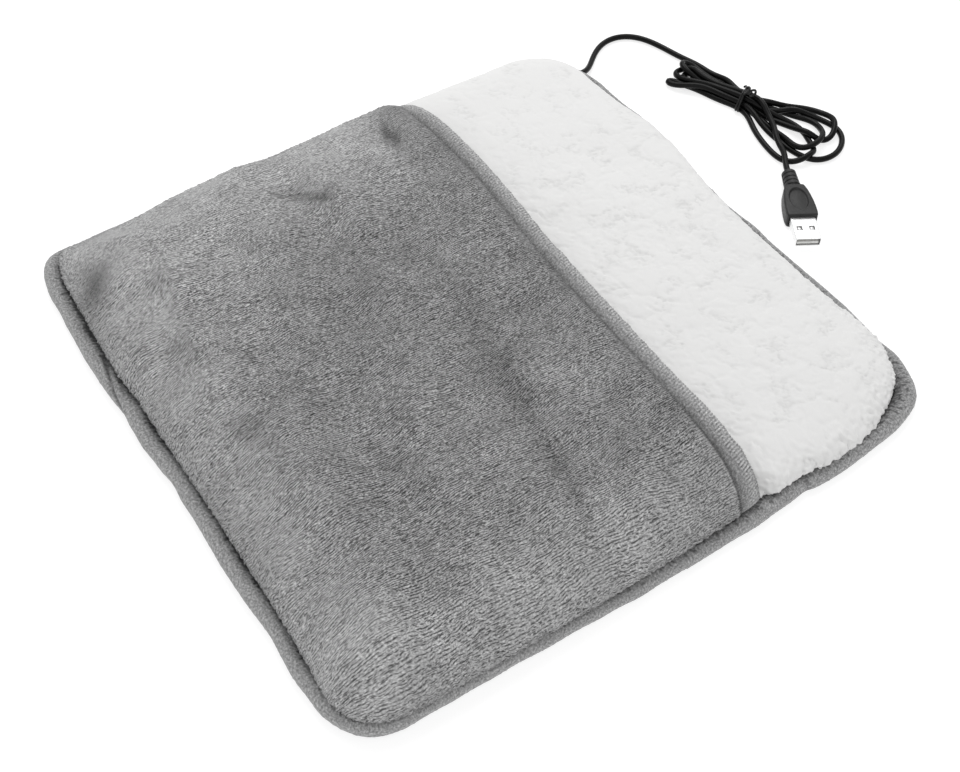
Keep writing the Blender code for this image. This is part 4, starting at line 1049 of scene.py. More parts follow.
def brightness_and_painted_light_of(x, y):
    """How light the brushed nap is painted: lighter towards the left, toe and right edges, as painted light and sheen;
    a little darker towards the mouth on the left; random patches; and the spots above, with painted shade in the
    filling's dents.
    """
    t = 1.0 + 0.40 * smooth(-40, -112, x) * smooth(34, 8, y) + 0.36 * smooth(-98, -138, y) * smooth(-130, -60, x) + 0.18 * smooth(-40, -110, y) * smooth(30, -60, x)
    t += 0.36 * smooth(98, 140, x) * (0.55 + 0.45 * smooth(35, -20, y)) + 0.10 * smooth(120, 142, x) - 0.08 * smooth(2, 30, y) * smooth(-120, -80, x)
    t = np.where(t > 1.38, 1.38 + 0.35 * (t - 1.38), t)
    t += 0.045 * patchy(x, y) + 0.030 * broad(x, y)
    return t + spots(x, y, SHADE_AND_NAP_SPOTS)


def dents_of(x, y):
    """Soft hollows and swellings of the filling, mm."""
    z = 0.55 * broad(x, y) + 0.22 * patchy(x + 40, y)
    return z + spots(x, y, ((-97, -134.5, 9.5, 4.6, -0.40, -2.6), (-90, -34, 10, 4, 0.9, -1.3), (-76, -114, 9, 5, 0.3, -0.8), (-38, -124, 7, 5, 0.2, -0.9), (-107, 20.3, 9, 2.6, -0.42, -1.3),
                            (-99, 21.5, 9, 2.4, -0.41, -1.0), (56, -19, 27, 9, 0.02, -0.9), (110, -28.5, 24, 4.2, -0.20, -1.1), (66, -3, 14, 7, 0, 0.3)))


# ================================================================ the pocket's plush cover
SEAM = 9.5
MOUTH, HEM = 45.0, 9.6
TOE_P = Profile(SEAM, [(9.5, 6.6), (7.7, 8.3), (7.1, 10.6), (7.9, 13.8), (10.6, 18.0), (15.2, 22.0), (21.5, 25.4), (30, 28.3), (41, 30.0), (60, 30.2)])
RIGHT_P = Profile(SEAM, [(8.3, 6.4), (5.0, 7.7), (4.1, 9.9), (4.8, 13.0), (7.6, 17.6), (12.6, 22.2), (19.5, 25.9), (29, 28.8), (40, 30.1), (60, 30.2)])
LEFT_P = Profile(SEAM, [(9.5, 6.3), (8.2, 7.9), (7.9, 9.8), (9.3, 12.6), (13.5, 16.8), (20, 21.2), (28, 25.4), (38, 28.6), (50, 30.1), (70, 30.2)])


# The plush stands out over the tape at the left toe corner, and further down its sides towards the toe.
plush_out = along([((-148, -50), 0.0), ((-148, -80), 0.4), ((-148, -98), -0.2), ((-147.5, -110), -0.4), ((-146.5, -120), -0.3), ((-145, -127), 0.1), ((-142.5, -133), 0.8), ((-138, -139.5), 1.5), ((-131, -144.5), 0.6),
                   ((-123, -148), 0.0), ((0, -150), 0.0), ((100, -150), 0.3), ((124, -150), 1.4), ((138, -145), 2.4), ((145, -138), 2.6), ((148, -124), 2.4), ((148, -90), 1.6),
                   ((148, -50), 0.6), ((148, -10), -0.4), ((148, 20), -1.4), ((148, 45), -1.8), ((148, 80), -1.8), ((100, 150), 0.0), ((-148, 100), 0.0)], blur=3.0)


def mouth_shift(x):
    """How far the mouth runs from its mean line, towards the heel."""
    return np.interp(x, [-150, -135, -126, -110, -95, -80, -60, -43, -28, -12, 6, 24, 58, 80, 99.5, 115, 128, 138, 144, 150],
                     [0.4, 0.6, 1.2, 2.6, 3.4, 3.8, 3.3, 2.1, 1.0, -0.1, -1.0, -1.6, -2.5, -2.7, -2.8, -3.0, -3.5, -6.0, -10.4, -13.8])


def shoulder(x, y, t):
    """The left side of the pocket stands fuller towards the mouth and lower towards the toe."""
    rise = np.interp(y, [-150, -128, -112, -100, -88, -67, -48, -30, -12, 4, 18, 28, 33, 36, 39.5, 43, 50], [-3.6, -5.0, -4.8, -3.0, -0.8, 1.2, 3.0, 0.6, 1.3, 2.6, 3.4, 3.8, 4.2, 3.4, -0.6, 0.2, -0.6])
    return rise * smooth(0.5, 7, t) * smooth(32, 15, t) * smooth(-90, -112, x)


def pocket_top(flat):
    left, right_w, toe = side_weights(flat)
    p, t, s = lay(flat, [(left, LEFT_P), (right_w, RIGHT_P), (toe, TOE_P)], SEAM)
    x, y = flat[..., 0], flat[..., 1]
    where, nx, ny, _ = outline(x, y)
    out = plush_out(s) * (1 - smooth(2.0, FOLD + 0.5, t))
    p[..., 0] += nx * out
    p[..., 1] += ny * out
    p[..., 2] += dents_of(p[..., 0], p[..., 1]) * smooth(2, 16, t) * smooth(MOUTH + 4, MOUTH - 16, y)
    p[..., 2] += shoulder(x, y, t)
    # the cover sinks a little just behind the hem, and the mouth isn't straight
    p[..., 2] -= 0.8 * smooth(MOUTH - HEM - 6, MOUTH - HEM + 0.5, y) * smooth(0, 14, t)
    p[..., 1] += mouth_shift(x) * smooth(-30, MOUTH - HEM, y)
    return p, t, s


halves = {}
for side, tag in ((1, "right"), (-1, "left")):
    length_u = HX - SEAM
    u_steps = [(0, 0.00150), (0.082, 0.00150), (0.095, 0.0031), (1, 0.0031)]
    v_steps = [(0, 0.0016), (0.06, 0.0016), (0.075, 0.0042), (1, 0.0042)]
    flat = flat_half(side, MOUTH - HEM + 0.3, SEAM, u_steps, v_steps)
    base, t, s = pocket_top(flat)
    x, y = flat[..., 0], flat[..., 1]
    nrm = normals_of(base)
    # the nap follows the cloth: near the steep edge the cloth is longer than its plan
    far_out = np.where(t < FOLD, (FOLD - t) * 1.15, 0)
    _, nx, ny, _ = outline(x, y)
    cx, cy = x + nx * far_out, y + ny * far_out
    wx, wy = nap_of(cx, cy)
    back = MOUTH - HEM - y
    rough = (0.62 + 0.38 * smooth(-125, -60, x)) * (0.82 + 0.18 * smooth(-140, -90, y)) * (0.60 + 0.40 * smooth(0.5, 3.5, back)) * (1 - 0.24 * smooth(95, 138, x)) * (1 - 0.14 * smooth(-100, -138, y)) + 0.07 * patchy(x, y + 30)
    near_seam = smooth(15, 3, t)
    pile = streak(wx, wy) * 0.85 + 0.14 * tuft(wx * 1.0, wy) + 0.25 * fuzz(cx, cy)
    lift = 0.09 * pile * rough + near_seam * (0.26 * jag(cx, cy) + 0.20 * fuzz(cx + 50, cy))
    lift = lift * smooth(0.0, 1.2, t + 0.35) * smooth(MOUTH - HEM + 0.6, MOUTH - HEM - 1.5, y)
    fine = base + nrm * (lift - 0.05)[..., None]
    seam_x = np.abs(x) < 1e-6
    fine[..., 0] = np.where(seam_x, 0.0, fine[..., 0])
    halves[tag] = (flat, base, nrm)

    def under(rows, cols, base=base, nrm=nrm, t=t):
        b = base[np.ix_(rows, cols)]
        tt = t[np.ix_(rows, cols)]
        low = b - nrm[np.ix_(rows, cols)] * (1.0 + 1.3 * smooth(0, 12, tt))[..., None]
        low[..., 0] = np.where(np.abs(b[..., 0]) < 1e-6, 0.0, low[..., 0])
        low[-1, :, 1] = np.minimum(low[-1, :, 1], b[-1, :, 1])
        return low
    piece, count = closed_sheet("pocket_plush_" + tag, fine, under, (9, 9), plush.m)
    total = len(piece.data.vertices)
    pad_to = lambda a, fill=0.0: np.concatenate([a.reshape(count, *a.shape[2:]), np.full((total - count, *a.shape[2:]), fill)])
    # straight lines of stitching pull the pile down just behind the hem; the shade in these grooves is painted in as
    # darker lines, and the grooves are not in the mesh
    stitch_line_shade = sum(-2.6 * np.exp(-0.5 * ((back - d) / 0.30) ** 2) for d in (4.4, 5.6, 6.8, 8.0)) * smooth(2, 14, t) * smooth(55, 90, x) * smooth(138, 122, x)
    put(piece, "pile", pad_to(pile + stitch_line_shade))
    put(piece, "depth", pad_to(rough, 1.0))
    # painted shade: a little darker just behind the hem, much darker in its last millimetre towards the right end, and
    # darker where the cover turns down to its seam
    brightness_and_painted_light = brightness_and_painted_light_of(base[..., 0], base[..., 1]) * (1 - 0.06 * smooth(7, 2.5, back) - 0.22 * smooth(0.9, 0.1, back)) * (0.38 + 0.62 * smooth(-0.2, 4.0, t))
    brightness_and_painted_light = brightness_and_painted_light * (1 - 0.62 * smooth(0.75, 0.35, back) * smooth(92, 118, x))
    put(piece, "brightness_and_painted_light", pad_to(brightness_and_painted_light, 1.0))
    put(piece, "nap", pad_to(np.stack([wx, wy, base[..., 2] * 0.6], axis=-1) * MM))
    halves[tag + "_piece"] = piece

# ================================================================ the hem along the mouth
SECTION = [(35.2, 0.26), (35.3, 0.17), (36.0, 0.135), (37.0, 0.10), (38.0, 0.052), (39.0, 0.024), (40.2, 0.012), (41.5, 0.022), (42.8, 0.06), (43.9, 0.13), (44.7, 0.23),
           (45.1, 0.36), (45.15, 0.50), (44.9, 0.64), (44.2, 0.78), (43.0, 0.89), (41.5, 0.95), (39.5, 0.98), (37.5, 0.99), (35.8, 0.97), (35.2, 0.90), (35.0, 0.6)]
section_line = even_curve([(y, q * 9.0) for y, q in SECTION] + [(35.2, 0.26 * 9.0)], 0.42)[:-1]


def lining_low(flat):
    left, right_w, toe = side_weights(flat)
    p, t, s = lay(flat, [(1.0 - left, Profile(SEAM, [(9.0, 5.6), (8.9, 7.4), (10.2, 10.2), (13.2, 13.8), (17.0, 16.9), (22.5, 19.4), (30, 20.8), (40, 21.0), (60, 21.0)])),
                         (left, Profile(SEAM, [(9.6, 5.4), (10.3, 7.0), (11.8, 9.0), (15.0, 12.2), (19.2, 15.4), (25.0, 18.6), (32, 20.4), (42, 21.0), (60, 21.0)]))], SEAM)
    x, y = flat[..., 0], flat[..., 1]
    p[..., 2] += 0.6 * np.clip(dents_of(x, y), -3, 0.4) * smooth(4, 26, t) + shoulder(x, y, t)
    p[..., 1] += mouth_shift(x) * smooth(-30, MOUTH - HEM, y)
    return p, t, s


for side, tag in ((1, "right"), (-1, "left")):
    # places across the mouth, even along the cloth
    xs = np.linspace(0, HX - SEAM, 4000)
    f = np.stack([xs * side, np.full_like(xs, MOUTH - 3)], axis=-1)[None]
    p, _, _ = pocket_top(f)
    run = np.concatenate([[0], np.cumsum(np.linalg.norm(np.diff(p[0], axis=0), axis=1))])
    count_x = int(run[-1] / 0.30)
    at = np.interp(np.linspace(0, run[-1], count_x), run, xs)
    arc = np.linspace(0, run[-1], count_x)
    yy, qq = section_line[:, 0], section_line[:, 1] / 9.0
    flat = np.stack([np.repeat(at[:, None] * side, len(yy), 1), np.repeat(yy[None], len(at), 0)], axis=-1)
    # the hem wavers a little, and at its left end the mouth runs back
    sway = 0.5 * np.sin(at / 23.0 + side) + 0.35 * np.sin(at / 9.0 + 2 * side)
    flat[..., 1] += sway[:, None] * 0.35
    if side > 0:
        flat[..., 1] += (0.24 * smooth(120, 139, at))[:, None] * (yy - 35.2)[None]
    top, t, s = pocket_top(flat)
    low, _, _ = lining_low(flat)
    top[..., 2] += 0.9 * smooth(0, 14, t) - 0.5 * smooth(38.0, 36.0, flat[..., 1]) * smooth(0, 14, t)
    thick = np.linalg.norm(top - low, axis=-1, keepdims=True)
    q = qq[None, :, None]
    grid = top * (1 - q) + low * q
    out = np.gradient(grid, axis=1)
    alongv = np.gradient(grid, axis=0) * side
    nrm = np.cross(alongv, out)
    nrm /= np.maximum(np.linalg.norm(nrm, axis=-1, keepdims=True), 1e-9)
    if nrm[5, 6, 2] < 0:
        nrm = -nrm
    a2, y2 = np.broadcast_arrays(arc[:, None] * side, flat[..., 1])
    ribs_on = smooth(38.4, 39.8, yy)[None] * smooth(0.62, 0.40, qq)[None] * smooth(run[-1], run[-1] - 22, arc)[:, None] if side > 0 else \
        smooth(38.4, 39.8, yy)[None] * smooth(0.62, 0.40, qq)[None] * smooth(run[-1] - 4, run[-1] - 44, arc)[:, None]
    phase = a2 / 1.50 + 0.22 * sway_x(a2 * 1.3, 0 * a2) + 0.20 * y2
    rib = np.sin(2 * np.pi * phase) * (0.75 + 0.25 * jitter_x(a2, y2))
    # the ribs are painted darker in their valleys and lighter on their tops, as painted shade and light in step with
    # their relief
    pile = ribs_on * ((1.7 + 0.9 * smooth(70, 120, a2)) * rib + 0.9 * fuzz(a2, y2)) + (1 - ribs_on) * 0.7 * fuzz(a2, y2 * 1.2)
    lift = ribs_on * (0.24 * rib + 0.06 * fuzz(a2, y2)) + (1 - ribs_on) * 0.05 * fuzz(a2, y2)
    lift += 0.10 * patchy(a2 * 3, y2)
    grid = grid + nrm * lift[..., None] * smooth(0.5, 3, thick)
    grid[0, :, 0] = 0.0
    rings = grid if side < 0 else grid[:, ::-1]
    pile_r, a_r, y_r = (pile, a2, y2) if side < 0 else (pile[:, ::-1], a2[:, ::-1], y2[:, ::-1])
    sway_r = 0.35 * sway[:, None]
    hem = tube_grid("mouth_hem_" + tag, rings, tape.m, closed_path=False, cap=True)
    extra = np.zeros(2)
    y_s = y_r - sway_r
    # painted shade in the hollow along the hem's inner edge, painted light on its rounded crest, and painted shade
    # where it turns down at the front
    hem_light_and_shade = (-2.6 + 0.9 * fuzz(a_r, y_r)) * np.exp(-0.5 * ((y_s - 36.3) / 0.42) ** 2) - 1.9 * smooth(40.6, 37.0, y_s) + 1.7 * np.exp(-0.5 * ((y_s - 42.8) / 1.5) ** 2) - 0.4 * smooth(44.6, 45.4, y_s)
    put(hem, "pile", np.concatenate([(pile_r + hem_light_and_shade).ravel(), extra]))
    put(hem, "nap", np.vstack([np.stack([a_r, y_r, 0 * a_r], axis=-1).reshape(-1, 3) * MM, np.zeros((2, 3))]))
    halves[tag + "_hem"] = hem

# ================================================================ sherpa: sole and pocket lining
def curls(x, y, seed=3):
    """Soft clumps of curled fleece: height in mm from about -1.6 to 0.6, and how open to the light each place is."""
    wx = x + 2.2 * patchy(x * 1.7 + 11, y * 1.7) + 0.8 * jag(x * 0.8, y * 0.8)
    wy = y + 2.2 * patchy(x * 1.7, y * 1.7 + 31) + 0.8 * jag(x * 0.8 + 9, y * 0.8 + 5)
    d1, d2, own = cells(wx, wy, 9.0, seed)
    e1, e2, own2 = cells(wx * 1.03 + 5, wy * 1.03, 3.6, seed + 1)
    big = 1 - np.clip(d1 / 0.78, 0, 1) ** 2.4
    crack = smooth(0.15, 0.02, d2 - d1)
    small = 1 - np.clip(e1 / 0.75, 0, 1) ** 2
    small_crack = smooth(0.16, 0.03, e2 - e1)
    where = smooth(-0.15, 1.15, patchy(x * 1.1 + 70, y * 1.1) + 0.35 * own)
    return big, small, crack, small_crack, where, own, own2


def sherpa_height(x, y):
    big, small, crack, small_crack, where, own, own2 = curls(x, y)
    h = 0.50 * big + 0.12 * small * (0.6 + 0.6 * own2) + 0.30 * (own - 0.5)
    h = h - 0.28 * crack * (0.12 + 0.9 * where) - 0.09 * small_crack * (0.2 + 0.8 * where)
    light = 1 - 0.45 * crack * where ** 2.5 - 0.15 * small_crack * where ** 2
    return h - 0.55, np.clip(light, 0, 1)


SOLE_SEAM = 9.5
HEEL_P = Profile(SOLE_SEAM, [(9.0, 5.0), (5.6, 6.5), (4.3, 8.3), (4.6, 10.2), (7.4, 12.4), (12.6, 14.1), (19.5, 15.1), (27, 15.6), (40, 15.8), (60, 15.8)])
CORNER_P = Profile(SOLE_SEAM, [(9.4, 5.2), (8.0, 6.5), (7.3, 8.0), (7.6, 9.9), (9.8, 12.2), (14.2, 14.0), (20.5, 15.0), (28, 15.6), (40, 15.8), (60, 15.8)])
INNER_P = Profile(SOLE_SEAM, [(9.5, 5.2), (9.3, 6.4), (10.0, 7.4), (12.5, 9.2), (16.0, 11.6), (20.5, 13.6), (27, 14.8), (34, 15.2), (45, 15.2), (60, 15.2)])


sole_out = along([((148, 50), 0.0), ((148, 74), -0.8), ((148, 90), -2.0), ((148, 106), -3.0), ((147, 116), -4.2), ((143, 127), -4.2), ((137, 136), -3.2), ((128, 143), -1.6), ((112, 150), -2.2),
                  ((90, 150), -1.8), ((60, 150), -0.9), ((36, 150), -0.3), ((5, 150), 0.2), ((-16, 150), 1.0), ((-40, 150), 1.7), ((-60, 150), 1.4), ((-76, 150), 0.5), ((-92, 150), 0.0), ((-148, 60), 0.0)], blur=4.0)


def sole_top(flat):
    x, y = flat[..., 0], flat[..., 1]
    inside = smooth(52, 40, y)
    corner = smooth(34, 12, np.hypot(x - 136, y - 132)) * (1 - inside)
    heel = 1 - inside - corner
    p, t, s = lay(flat, [(heel, HEEL_P), (corner, CORNER_P), (inside, INNER_P)], SOLE_SEAM)
    _, nx, ny, _ = outline(x, y)
    out = sole_out(s) * (1 - smooth(4.0, FOLD + 3, t))
    p[..., 0] += nx * out
    p[..., 1] += ny * out
    p[..., 2] += 0.45 * broad(x + 30, y + 60) * smooth(4, 20, t)
    return p, t, s


u_at = spaced(1.0, [(0, 0.0017), (0.038, 0.0017), (0.05, 0.0026), (0.5, 0.0026), (0.95, 0.0026), (0.962, 0.0017), (1, 0.0017)])
v_at = spaced(1.0, [(0, 0.011), (0.60, 0.011), (0.645, 0.0028), (0.95, 0.0026), (0.965, 0.0016), (1, 0.0016)])
flat = flat_whole(SOLE_SEAM, u_at, v_at)
base, t, s = sole_top(flat)
nrm = normals_of(base)
x, y = flat[..., 0], flat[..., 1]
_, nx, ny, _ = outline(x, y)
far_out = np.where(t < FOLD, (FOLD - t) * 0.75, 0)
cx, cy = x + nx * far_out, y + ny * far_out
h, light = sherpa_height(cx, cy)
calm = 1 - 0.45 * smooth(-30, -90, x) * smooth(40, 60, y)        # the fleece lies smoother on the lead's side
rim = smooth(13, 3, t)
open_side = smooth(10, 120, x)
h = h * calm * (1 + 0.35 * rim * open_side) + rim * open_side * (0.26 * jag(cx * 0.9, cy * 0.9) + 0.16 * fuzz(cx, cy) + 0.1) - 0.7 * rim * (1 - open_side)
h = h * smooth(0, 1.6, t + 0.2) * (0.45 + 0.55 * smooth(36, 48, y))
# the pucker beside the small tuck in the tape
h = h - 1.5 * np.exp(-0.5 * (((x - 139.5) / 2.6) ** 2 + ((y - 71.5) / 1.5) ** 2)) - 0.9 * np.exp(-0.5 * (((x - 142) / 3) ** 2 + ((y - 84) / 1.2) ** 2))
fine = base + nrm * h[..., None]


def sole_under(rows, cols):
    b = base[np.ix_(rows, cols)]
    tt, ss = t[np.ix_(rows, cols)], s[np.ix_(rows, cols)]
    xx, yy_ = x[np.ix_(rows, cols)], y[np.ix_(rows, cols)]
    ins, nx_, ny_, _ = outline(xx, yy_)
    low = np.interp(tt + SOLE_SEAM, [SOLE_SEAM, 10.3, 13.5, 18, 24, 32], [3.6, 3.6, 5.2, 7.6, 9.6, 10.4])
    return np.stack([xx, yy_, low], axis=-1)


sole, count = closed_sheet("sole_sherpa", fine, sole_under, (8, 8), sherpa.m)
total = len(sole.data.vertices)
rest = total - count
# painted shade in the cracks between the curls, and darker right at the seam under the tape
put(sole, "painted_fleece_shade", np.concatenate([(light * (1 - 0.25 * smooth(1.6, 0.0, t))).ravel(), np.ones(rest)]))
put(sole, "nap", np.vstack([np.stack([cx, cy, base[..., 2]], axis=-1).reshape(-1, 3) * MM, np.zeros((rest, 3))]))
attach(sole, "base")
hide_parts("sole_fleece")

for side, tag in ((1, "right"), (-1, "left")):
    flat = flat_half(side, MOUTH - HEM - 0.2, SEAM, [(0, 0.0060), (0.1, 0.0060), (0.12, 0.0095), (1, 0.0095)], [(0, 0.008), (1, 0.0075)])
    base, t, s = lining_low(flat)
    base[..., 2] = np.maximum(base[..., 2], 0)
    nrm = normals_of(base)
    x, y = flat[..., 0], flat[..., 1]
    h, light = sherpa_height(x + 300, y + 200)
    fine = base - nrm * (h * 0.75 * smooth(0, 6, t))[..., None]
    fine[..., 0] = np.where(np.abs(x) < 1e-6, 0.0, fine[..., 0])

    def over(rows, cols, base=base, t=t):
        b = base[np.ix_(rows, cols)].copy()
        b[..., 2] += 0.6 + 1.9 * smooth(0, 20, t[np.ix_(rows, cols)])
        return b
    lining, count = closed_sheet("pocket_lining_" + tag, fine, over, (5, 5), sherpa.m, flip=True)
    rest = len(lining.data.vertices) - count
    put(lining, "painted_fleece_shade", np.concatenate([light.ravel(), np.ones(rest)]))
    put(lining, "nap", np.vstack([np.stack([x, y, base[..., 2]], axis=-1).reshape(-1, 3) * MM, np.zeros((rest, 3))]))
    halves[tag + "_lining"] = lining

    # the pocket's wadding
    flat = flat_half(side, MOUTH - HEM - 4.0, 40.0, [(0, 0.03), (1, 0.03)], [(0, 0.03), (1, 0.03)])
    xx, yy_ = flat[..., 0], flat[..., 1]
    deep = smooth(0, 12, outline(xx, yy_)[0] - 40.0)
    top = np.stack([xx, yy_, 24.7 + (1.4 + 0.1 * patchy(xx, yy_)) * deep], axis=-1)
    fill, count = closed_sheet("pocket_wadding_" + tag, top, lambda rows, cols, xx=xx, yy_=yy_, deep=deep: np.stack(
        [xx[np.ix_(rows, cols)], yy_[np.ix_(rows, cols)], 24.35 + 0.1 * deep[np.ix_(rows, cols)]], axis=-1), (1, 1), wadding.m)
    halves[tag + "_fill"] = fill

# ================================================================ underside plush
u_at = spaced(1.0, [(0, 0.0035), (0.06, 0.0035), (0.08, 0.0062), (0.92, 0.0062), (0.94, 0.0035), (1, 0.0035)])
flat = flat_whole(SOLE_SEAM, u_at, u_at)
x, y = flat[..., 0], flat[..., 1]
inset, nx, ny, s = outline(x, y)
t = inset - SOLE_SEAM
z = np.interp(t + SOLE_SEAM, [SOLE_SEAM, 10.3, 13.5, 18, 21], [1.5, 1.5, 0.85, 0.25, 0.06])
wx, wy = nap_of(-x + 200, y + 90)
pile = streak(wx, wy) * 0.8 + 0.4 * tuft(wx, wy) + 0.3 * fuzz(x, y)
base = np.stack([x, y, z], axis=-1)
fine = base.copy()
fine[..., 2] = np.maximum(z + 0.12 - 0.10 * pile * smooth(0, 4, t), 0.01)


def cover_top(rows, cols):
    tt = t[np.ix_(rows, cols)]
    return np.stack([x[np.ix_(rows, cols)], y[np.ix_(rows, cols)], np.interp(tt + SOLE_SEAM, [SOLE_SEAM, 10.3, 13.5, 18, 24], [2.9, 2.9, 2.2, 1.45, 1.25])], axis=-1)


cover, count = closed_sheet("base_plush", fine, cover_top, (6, 6), under_plush.m, flip=True)
rest = len(cover.data.vertices) - count
put(cover, "pile", np.concatenate([pile.ravel(), np.zeros(rest)]))
put(cover, "depth", np.ones(len(cover.data.vertices)))
put(cover, "brightness_and_painted_light", np.concatenate([(1.05 + 0.07 * patchy(x, y)).ravel(), np.ones(rest)]))
put(cover, "nap", np.vstack([np.stack([wx, wy, z], axis=-1).reshape(-1, 3) * MM, np.zeros((rest, 3))]))
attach(cover, "base")
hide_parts("base_cover")

# ================================================================ the folded tape round the edge
low_side = along([((-120, -150), 1.0), ((0, -150), 1.02), ((130, -150), 0.98), ((148, -120), 0.86), ((148, 0), 0.80), ((148, 44), 0.84), ((148, 64), 0.72), ((148, 80), 0.86),
                  ((140, 132), 0.98), ((110, 150), 0.90), ((60, 150), 0.78), ((0, 150), 0.78), ((-60, 150), 0.92), ((-105, 150), 0.80), ((-148, 100), 0.76), ((-148, 0), 0.78), ((-148, -70), 0.80), ((-148, -100), 0.76), ((-146, -120), 0.74), ((-141, -137), 0.76), ((-131, -146), 0.88)], blur=5)
outer = even_curve([(9.4, 0.05), (6.5, 0.0), (3.6, 0.0), (1.7, 0.45), (0.55, 1.6), (0.06, 3.2), (0.1, 4.8), (0.75, 6.3), (2.1, 7.45), (3.9, 7.9), (5.8, 7.5), (7.6, 6.5), (9.3, 5.35)], 0.42)
wallt = 1.15
tang = np.gradient(outer, axis=0)
tang /= np.linalg.norm(tang, axis=1, keepdims=True)
inner = (outer + np.column_stack([tang[:, 1], -tang[:, 0]]) * -wallt)
keep = np.linspace(0, len(outer) - 1, len(outer) // 5).astype(int)
if np.hypot(*(inner[len(inner) // 2] - (5, 4))) > np.hypot(*(outer[len(outer) // 2] - (5, 4))):
    inner = (outer + np.column_stack([tang[:, 1], -tang[:, 0]]) * wallt)
inner = inner[keep][::-1]
loop2 = np.vstack([outer, inner])
S = np.arange(0, WHOLE, 0.80)
p = _plain(S)
m = len(loop2)
si, li = np.meshgrid(S, np.arange(m), indexing="ij")
ins, z = np.broadcast_to(loop2[:, 0], si.shape).copy(), np.broadcast_to(loop2[:, 1], si.shape).copy()
visible = np.broadcast_to((np.arange(m) < len(outer)), si.shape)
over_run = np.concatenate([[0], np.cumsum(np.linalg.norm(np.diff(outer, axis=0), axis=1))])
cr = np.broadcast_to(np.concatenate([over_run, over_run[keep][::-1]]), si.shape)
wave = Noise(21, (0.72, 0.5), 30.0, (64, 2048), band=0.6)
soft = Noise(22, (0.5, 0.5), 2.2, (512, 512), band=0.5)
pleat = Noise(23, (0.36, 0.8), 1.7, (512, 1024), long=6.0, band=0.4)
z = z * low_side(si) + 0.0
# Places across the tape: 0 under the plush at the bottom, 11 outermost, 18 on the crest, 24 where it meets the plush on top.
facing = np.where(visible, 1.0, -1.0)
lift = np.where(visible, 0.06 * soft(si, cr) + 0.05 * fuzz(si, cr), 0)
lift = lift + facing * 0.26 * wave(si, cr * 0.5) * smooth(7, 11, cr) * smooth(23.8, 20, cr)
# fine gathers on the inner half of the top, with painted shade in their folds and painted light on their ridges
toe_side = smooth(place_of(-146, -120), place_of(-130, -146), si) * smooth(place_of(148, -120), place_of(135, -147), si)
right_side = smooth(place_of(135, -147), place_of(148, -120), si) * smooth(place_of(148, 47), place_of(148, 40), si)
over_by = 3.4 * right_side + 2.4 * np.exp(-0.5 * ((si - place_of(138, -143)) / 11) ** 2) - 1.3 * (1 - np.maximum(right_side, toe_side)) + np.clip(plush_out(si) - edge_out(si), -0.6, 4.0) * np.maximum(right_side, toe_side)
gather = smooth(16.0, 18.6, cr) * visible
streaks_on = np.exp(-0.5 * ((si - place_of(-100, -150)) / 46) ** 2) * 0.8 + 0.25
lift = lift + gather * streaks_on * 0.10 * pleat(si, cr)
# painted light and shade on the tape: the gathers, painted light on the outer roll, painted shade on the inner half of
# the top, a deep painted shadow in the gap under the plush's edge, and painted shade low on the outer side and
# underneath
painted_light_and_shade = gather * streaks_on * (1.5 * pleat(si, cr) - 0.6) + 0.9 * np.exp(-0.5 * ((cr - 13.0) / 2.6) ** 2) * visible - 1.5 * smooth(16.5, 20.5, cr) * visible
painted_light_and_shade = painted_light_and_shade - (3.4 + 5.2 * np.maximum(toe_side, right_side) + 1.8 * jag(si, cr)) * smooth(19.4 + 0.6 * toe_side - over_by, 20.9 + 0.6 * toe_side - over_by, cr + 0.9 * jag(si * 1.3, cr * 0.3) + 0.5 * fuzz(si, cr * 0.3)) * visible - 1.0 * smooth(9.8, 7.5, cr) * visible
# the crease where the outer roll ends in a point and the inner fold takes over, with painted shade along it
s_c = place_of(-40, -150)
f = np.clip((si - (s_c - 26)) / 30, 0, 1)
centre = 20.6 - 9.0 * f
on = smooth(s_c - 32, s_c - 24, si) * smooth(s_c + 7, s_c + 3, si)
lift = lift - facing * on * 1.0 * np.exp(-0.5 * ((cr - centre) / 0.75) ** 2) + facing * on * 0.55 * np.exp(-0.5 * ((cr - centre - 2.2) / 1.1) ** 2)
painted_light_and_shade = painted_light_and_shade - on * visible * (5.6 + 1.2 * jag(si, cr)) * np.exp(-0.5 * ((cr - centre) / 0.70) ** 2)
# small painted shadows where the fleece meets the tape, in the gaps between its curls
fleece_gap_shadows = (1 - np.maximum(right_side, toe_side)) * smooth(0.5, 1.3, fuzz(si * 0.8, cr * 0.4) + 0.7 * jag(si, cr * 0.5))
painted_light_and_shade = painted_light_and_shade - 6.5 * fleece_gap_shadows * smooth(15.6, 17.4, cr) * visible
# the small tuck on the right side, with painted shade in its fold
s_t = place_of(148, 65.0)
across_on = smooth(9.0, 12.0, cr)
tuck = np.exp(-0.5 * ((si - s_t - 0.10 * (cr - 12)) / 0.80) ** 2) * across_on
lift = lift - facing * 0.8 * tuck + facing * 0.45 * np.exp(-0.5 * ((si - s_t - 2.4) / 1.5) ** 2) * across_on
painted_light_and_shade = painted_light_and_shade - 2.2 * tuck * visible
pos_in = ins - edge_out(si)
x2 = np.repeat(p[:, 0:1], m, 1) - np.repeat(p[:, 2:3], m, 1) * pos_in
y2 = np.repeat(p[:, 1:2], m, 1) - np.repeat(p[:, 3:4], m, 1) * pos_in
rings = np.stack([x2, y2, z], axis=-1)
d_s = (np.roll(rings, -1, axis=0) - np.roll(rings, 1, axis=0))
d_l = (np.roll(rings, -1, axis=1) - np.roll(rings, 1, axis=1))
nrm = np.cross(d_l, d_s)
nrm /= np.maximum(np.linalg.norm(nrm, axis=-1, keepdims=True), 1e-9)
top_k = int(np.argmax(outer[:, 1]))
if nrm[10, top_k, 2] < 0:
    nrm = -nrm
rings = rings + nrm * lift[..., None]
rings[..., 2] = np.maximum(rings[..., 2], 0.0)
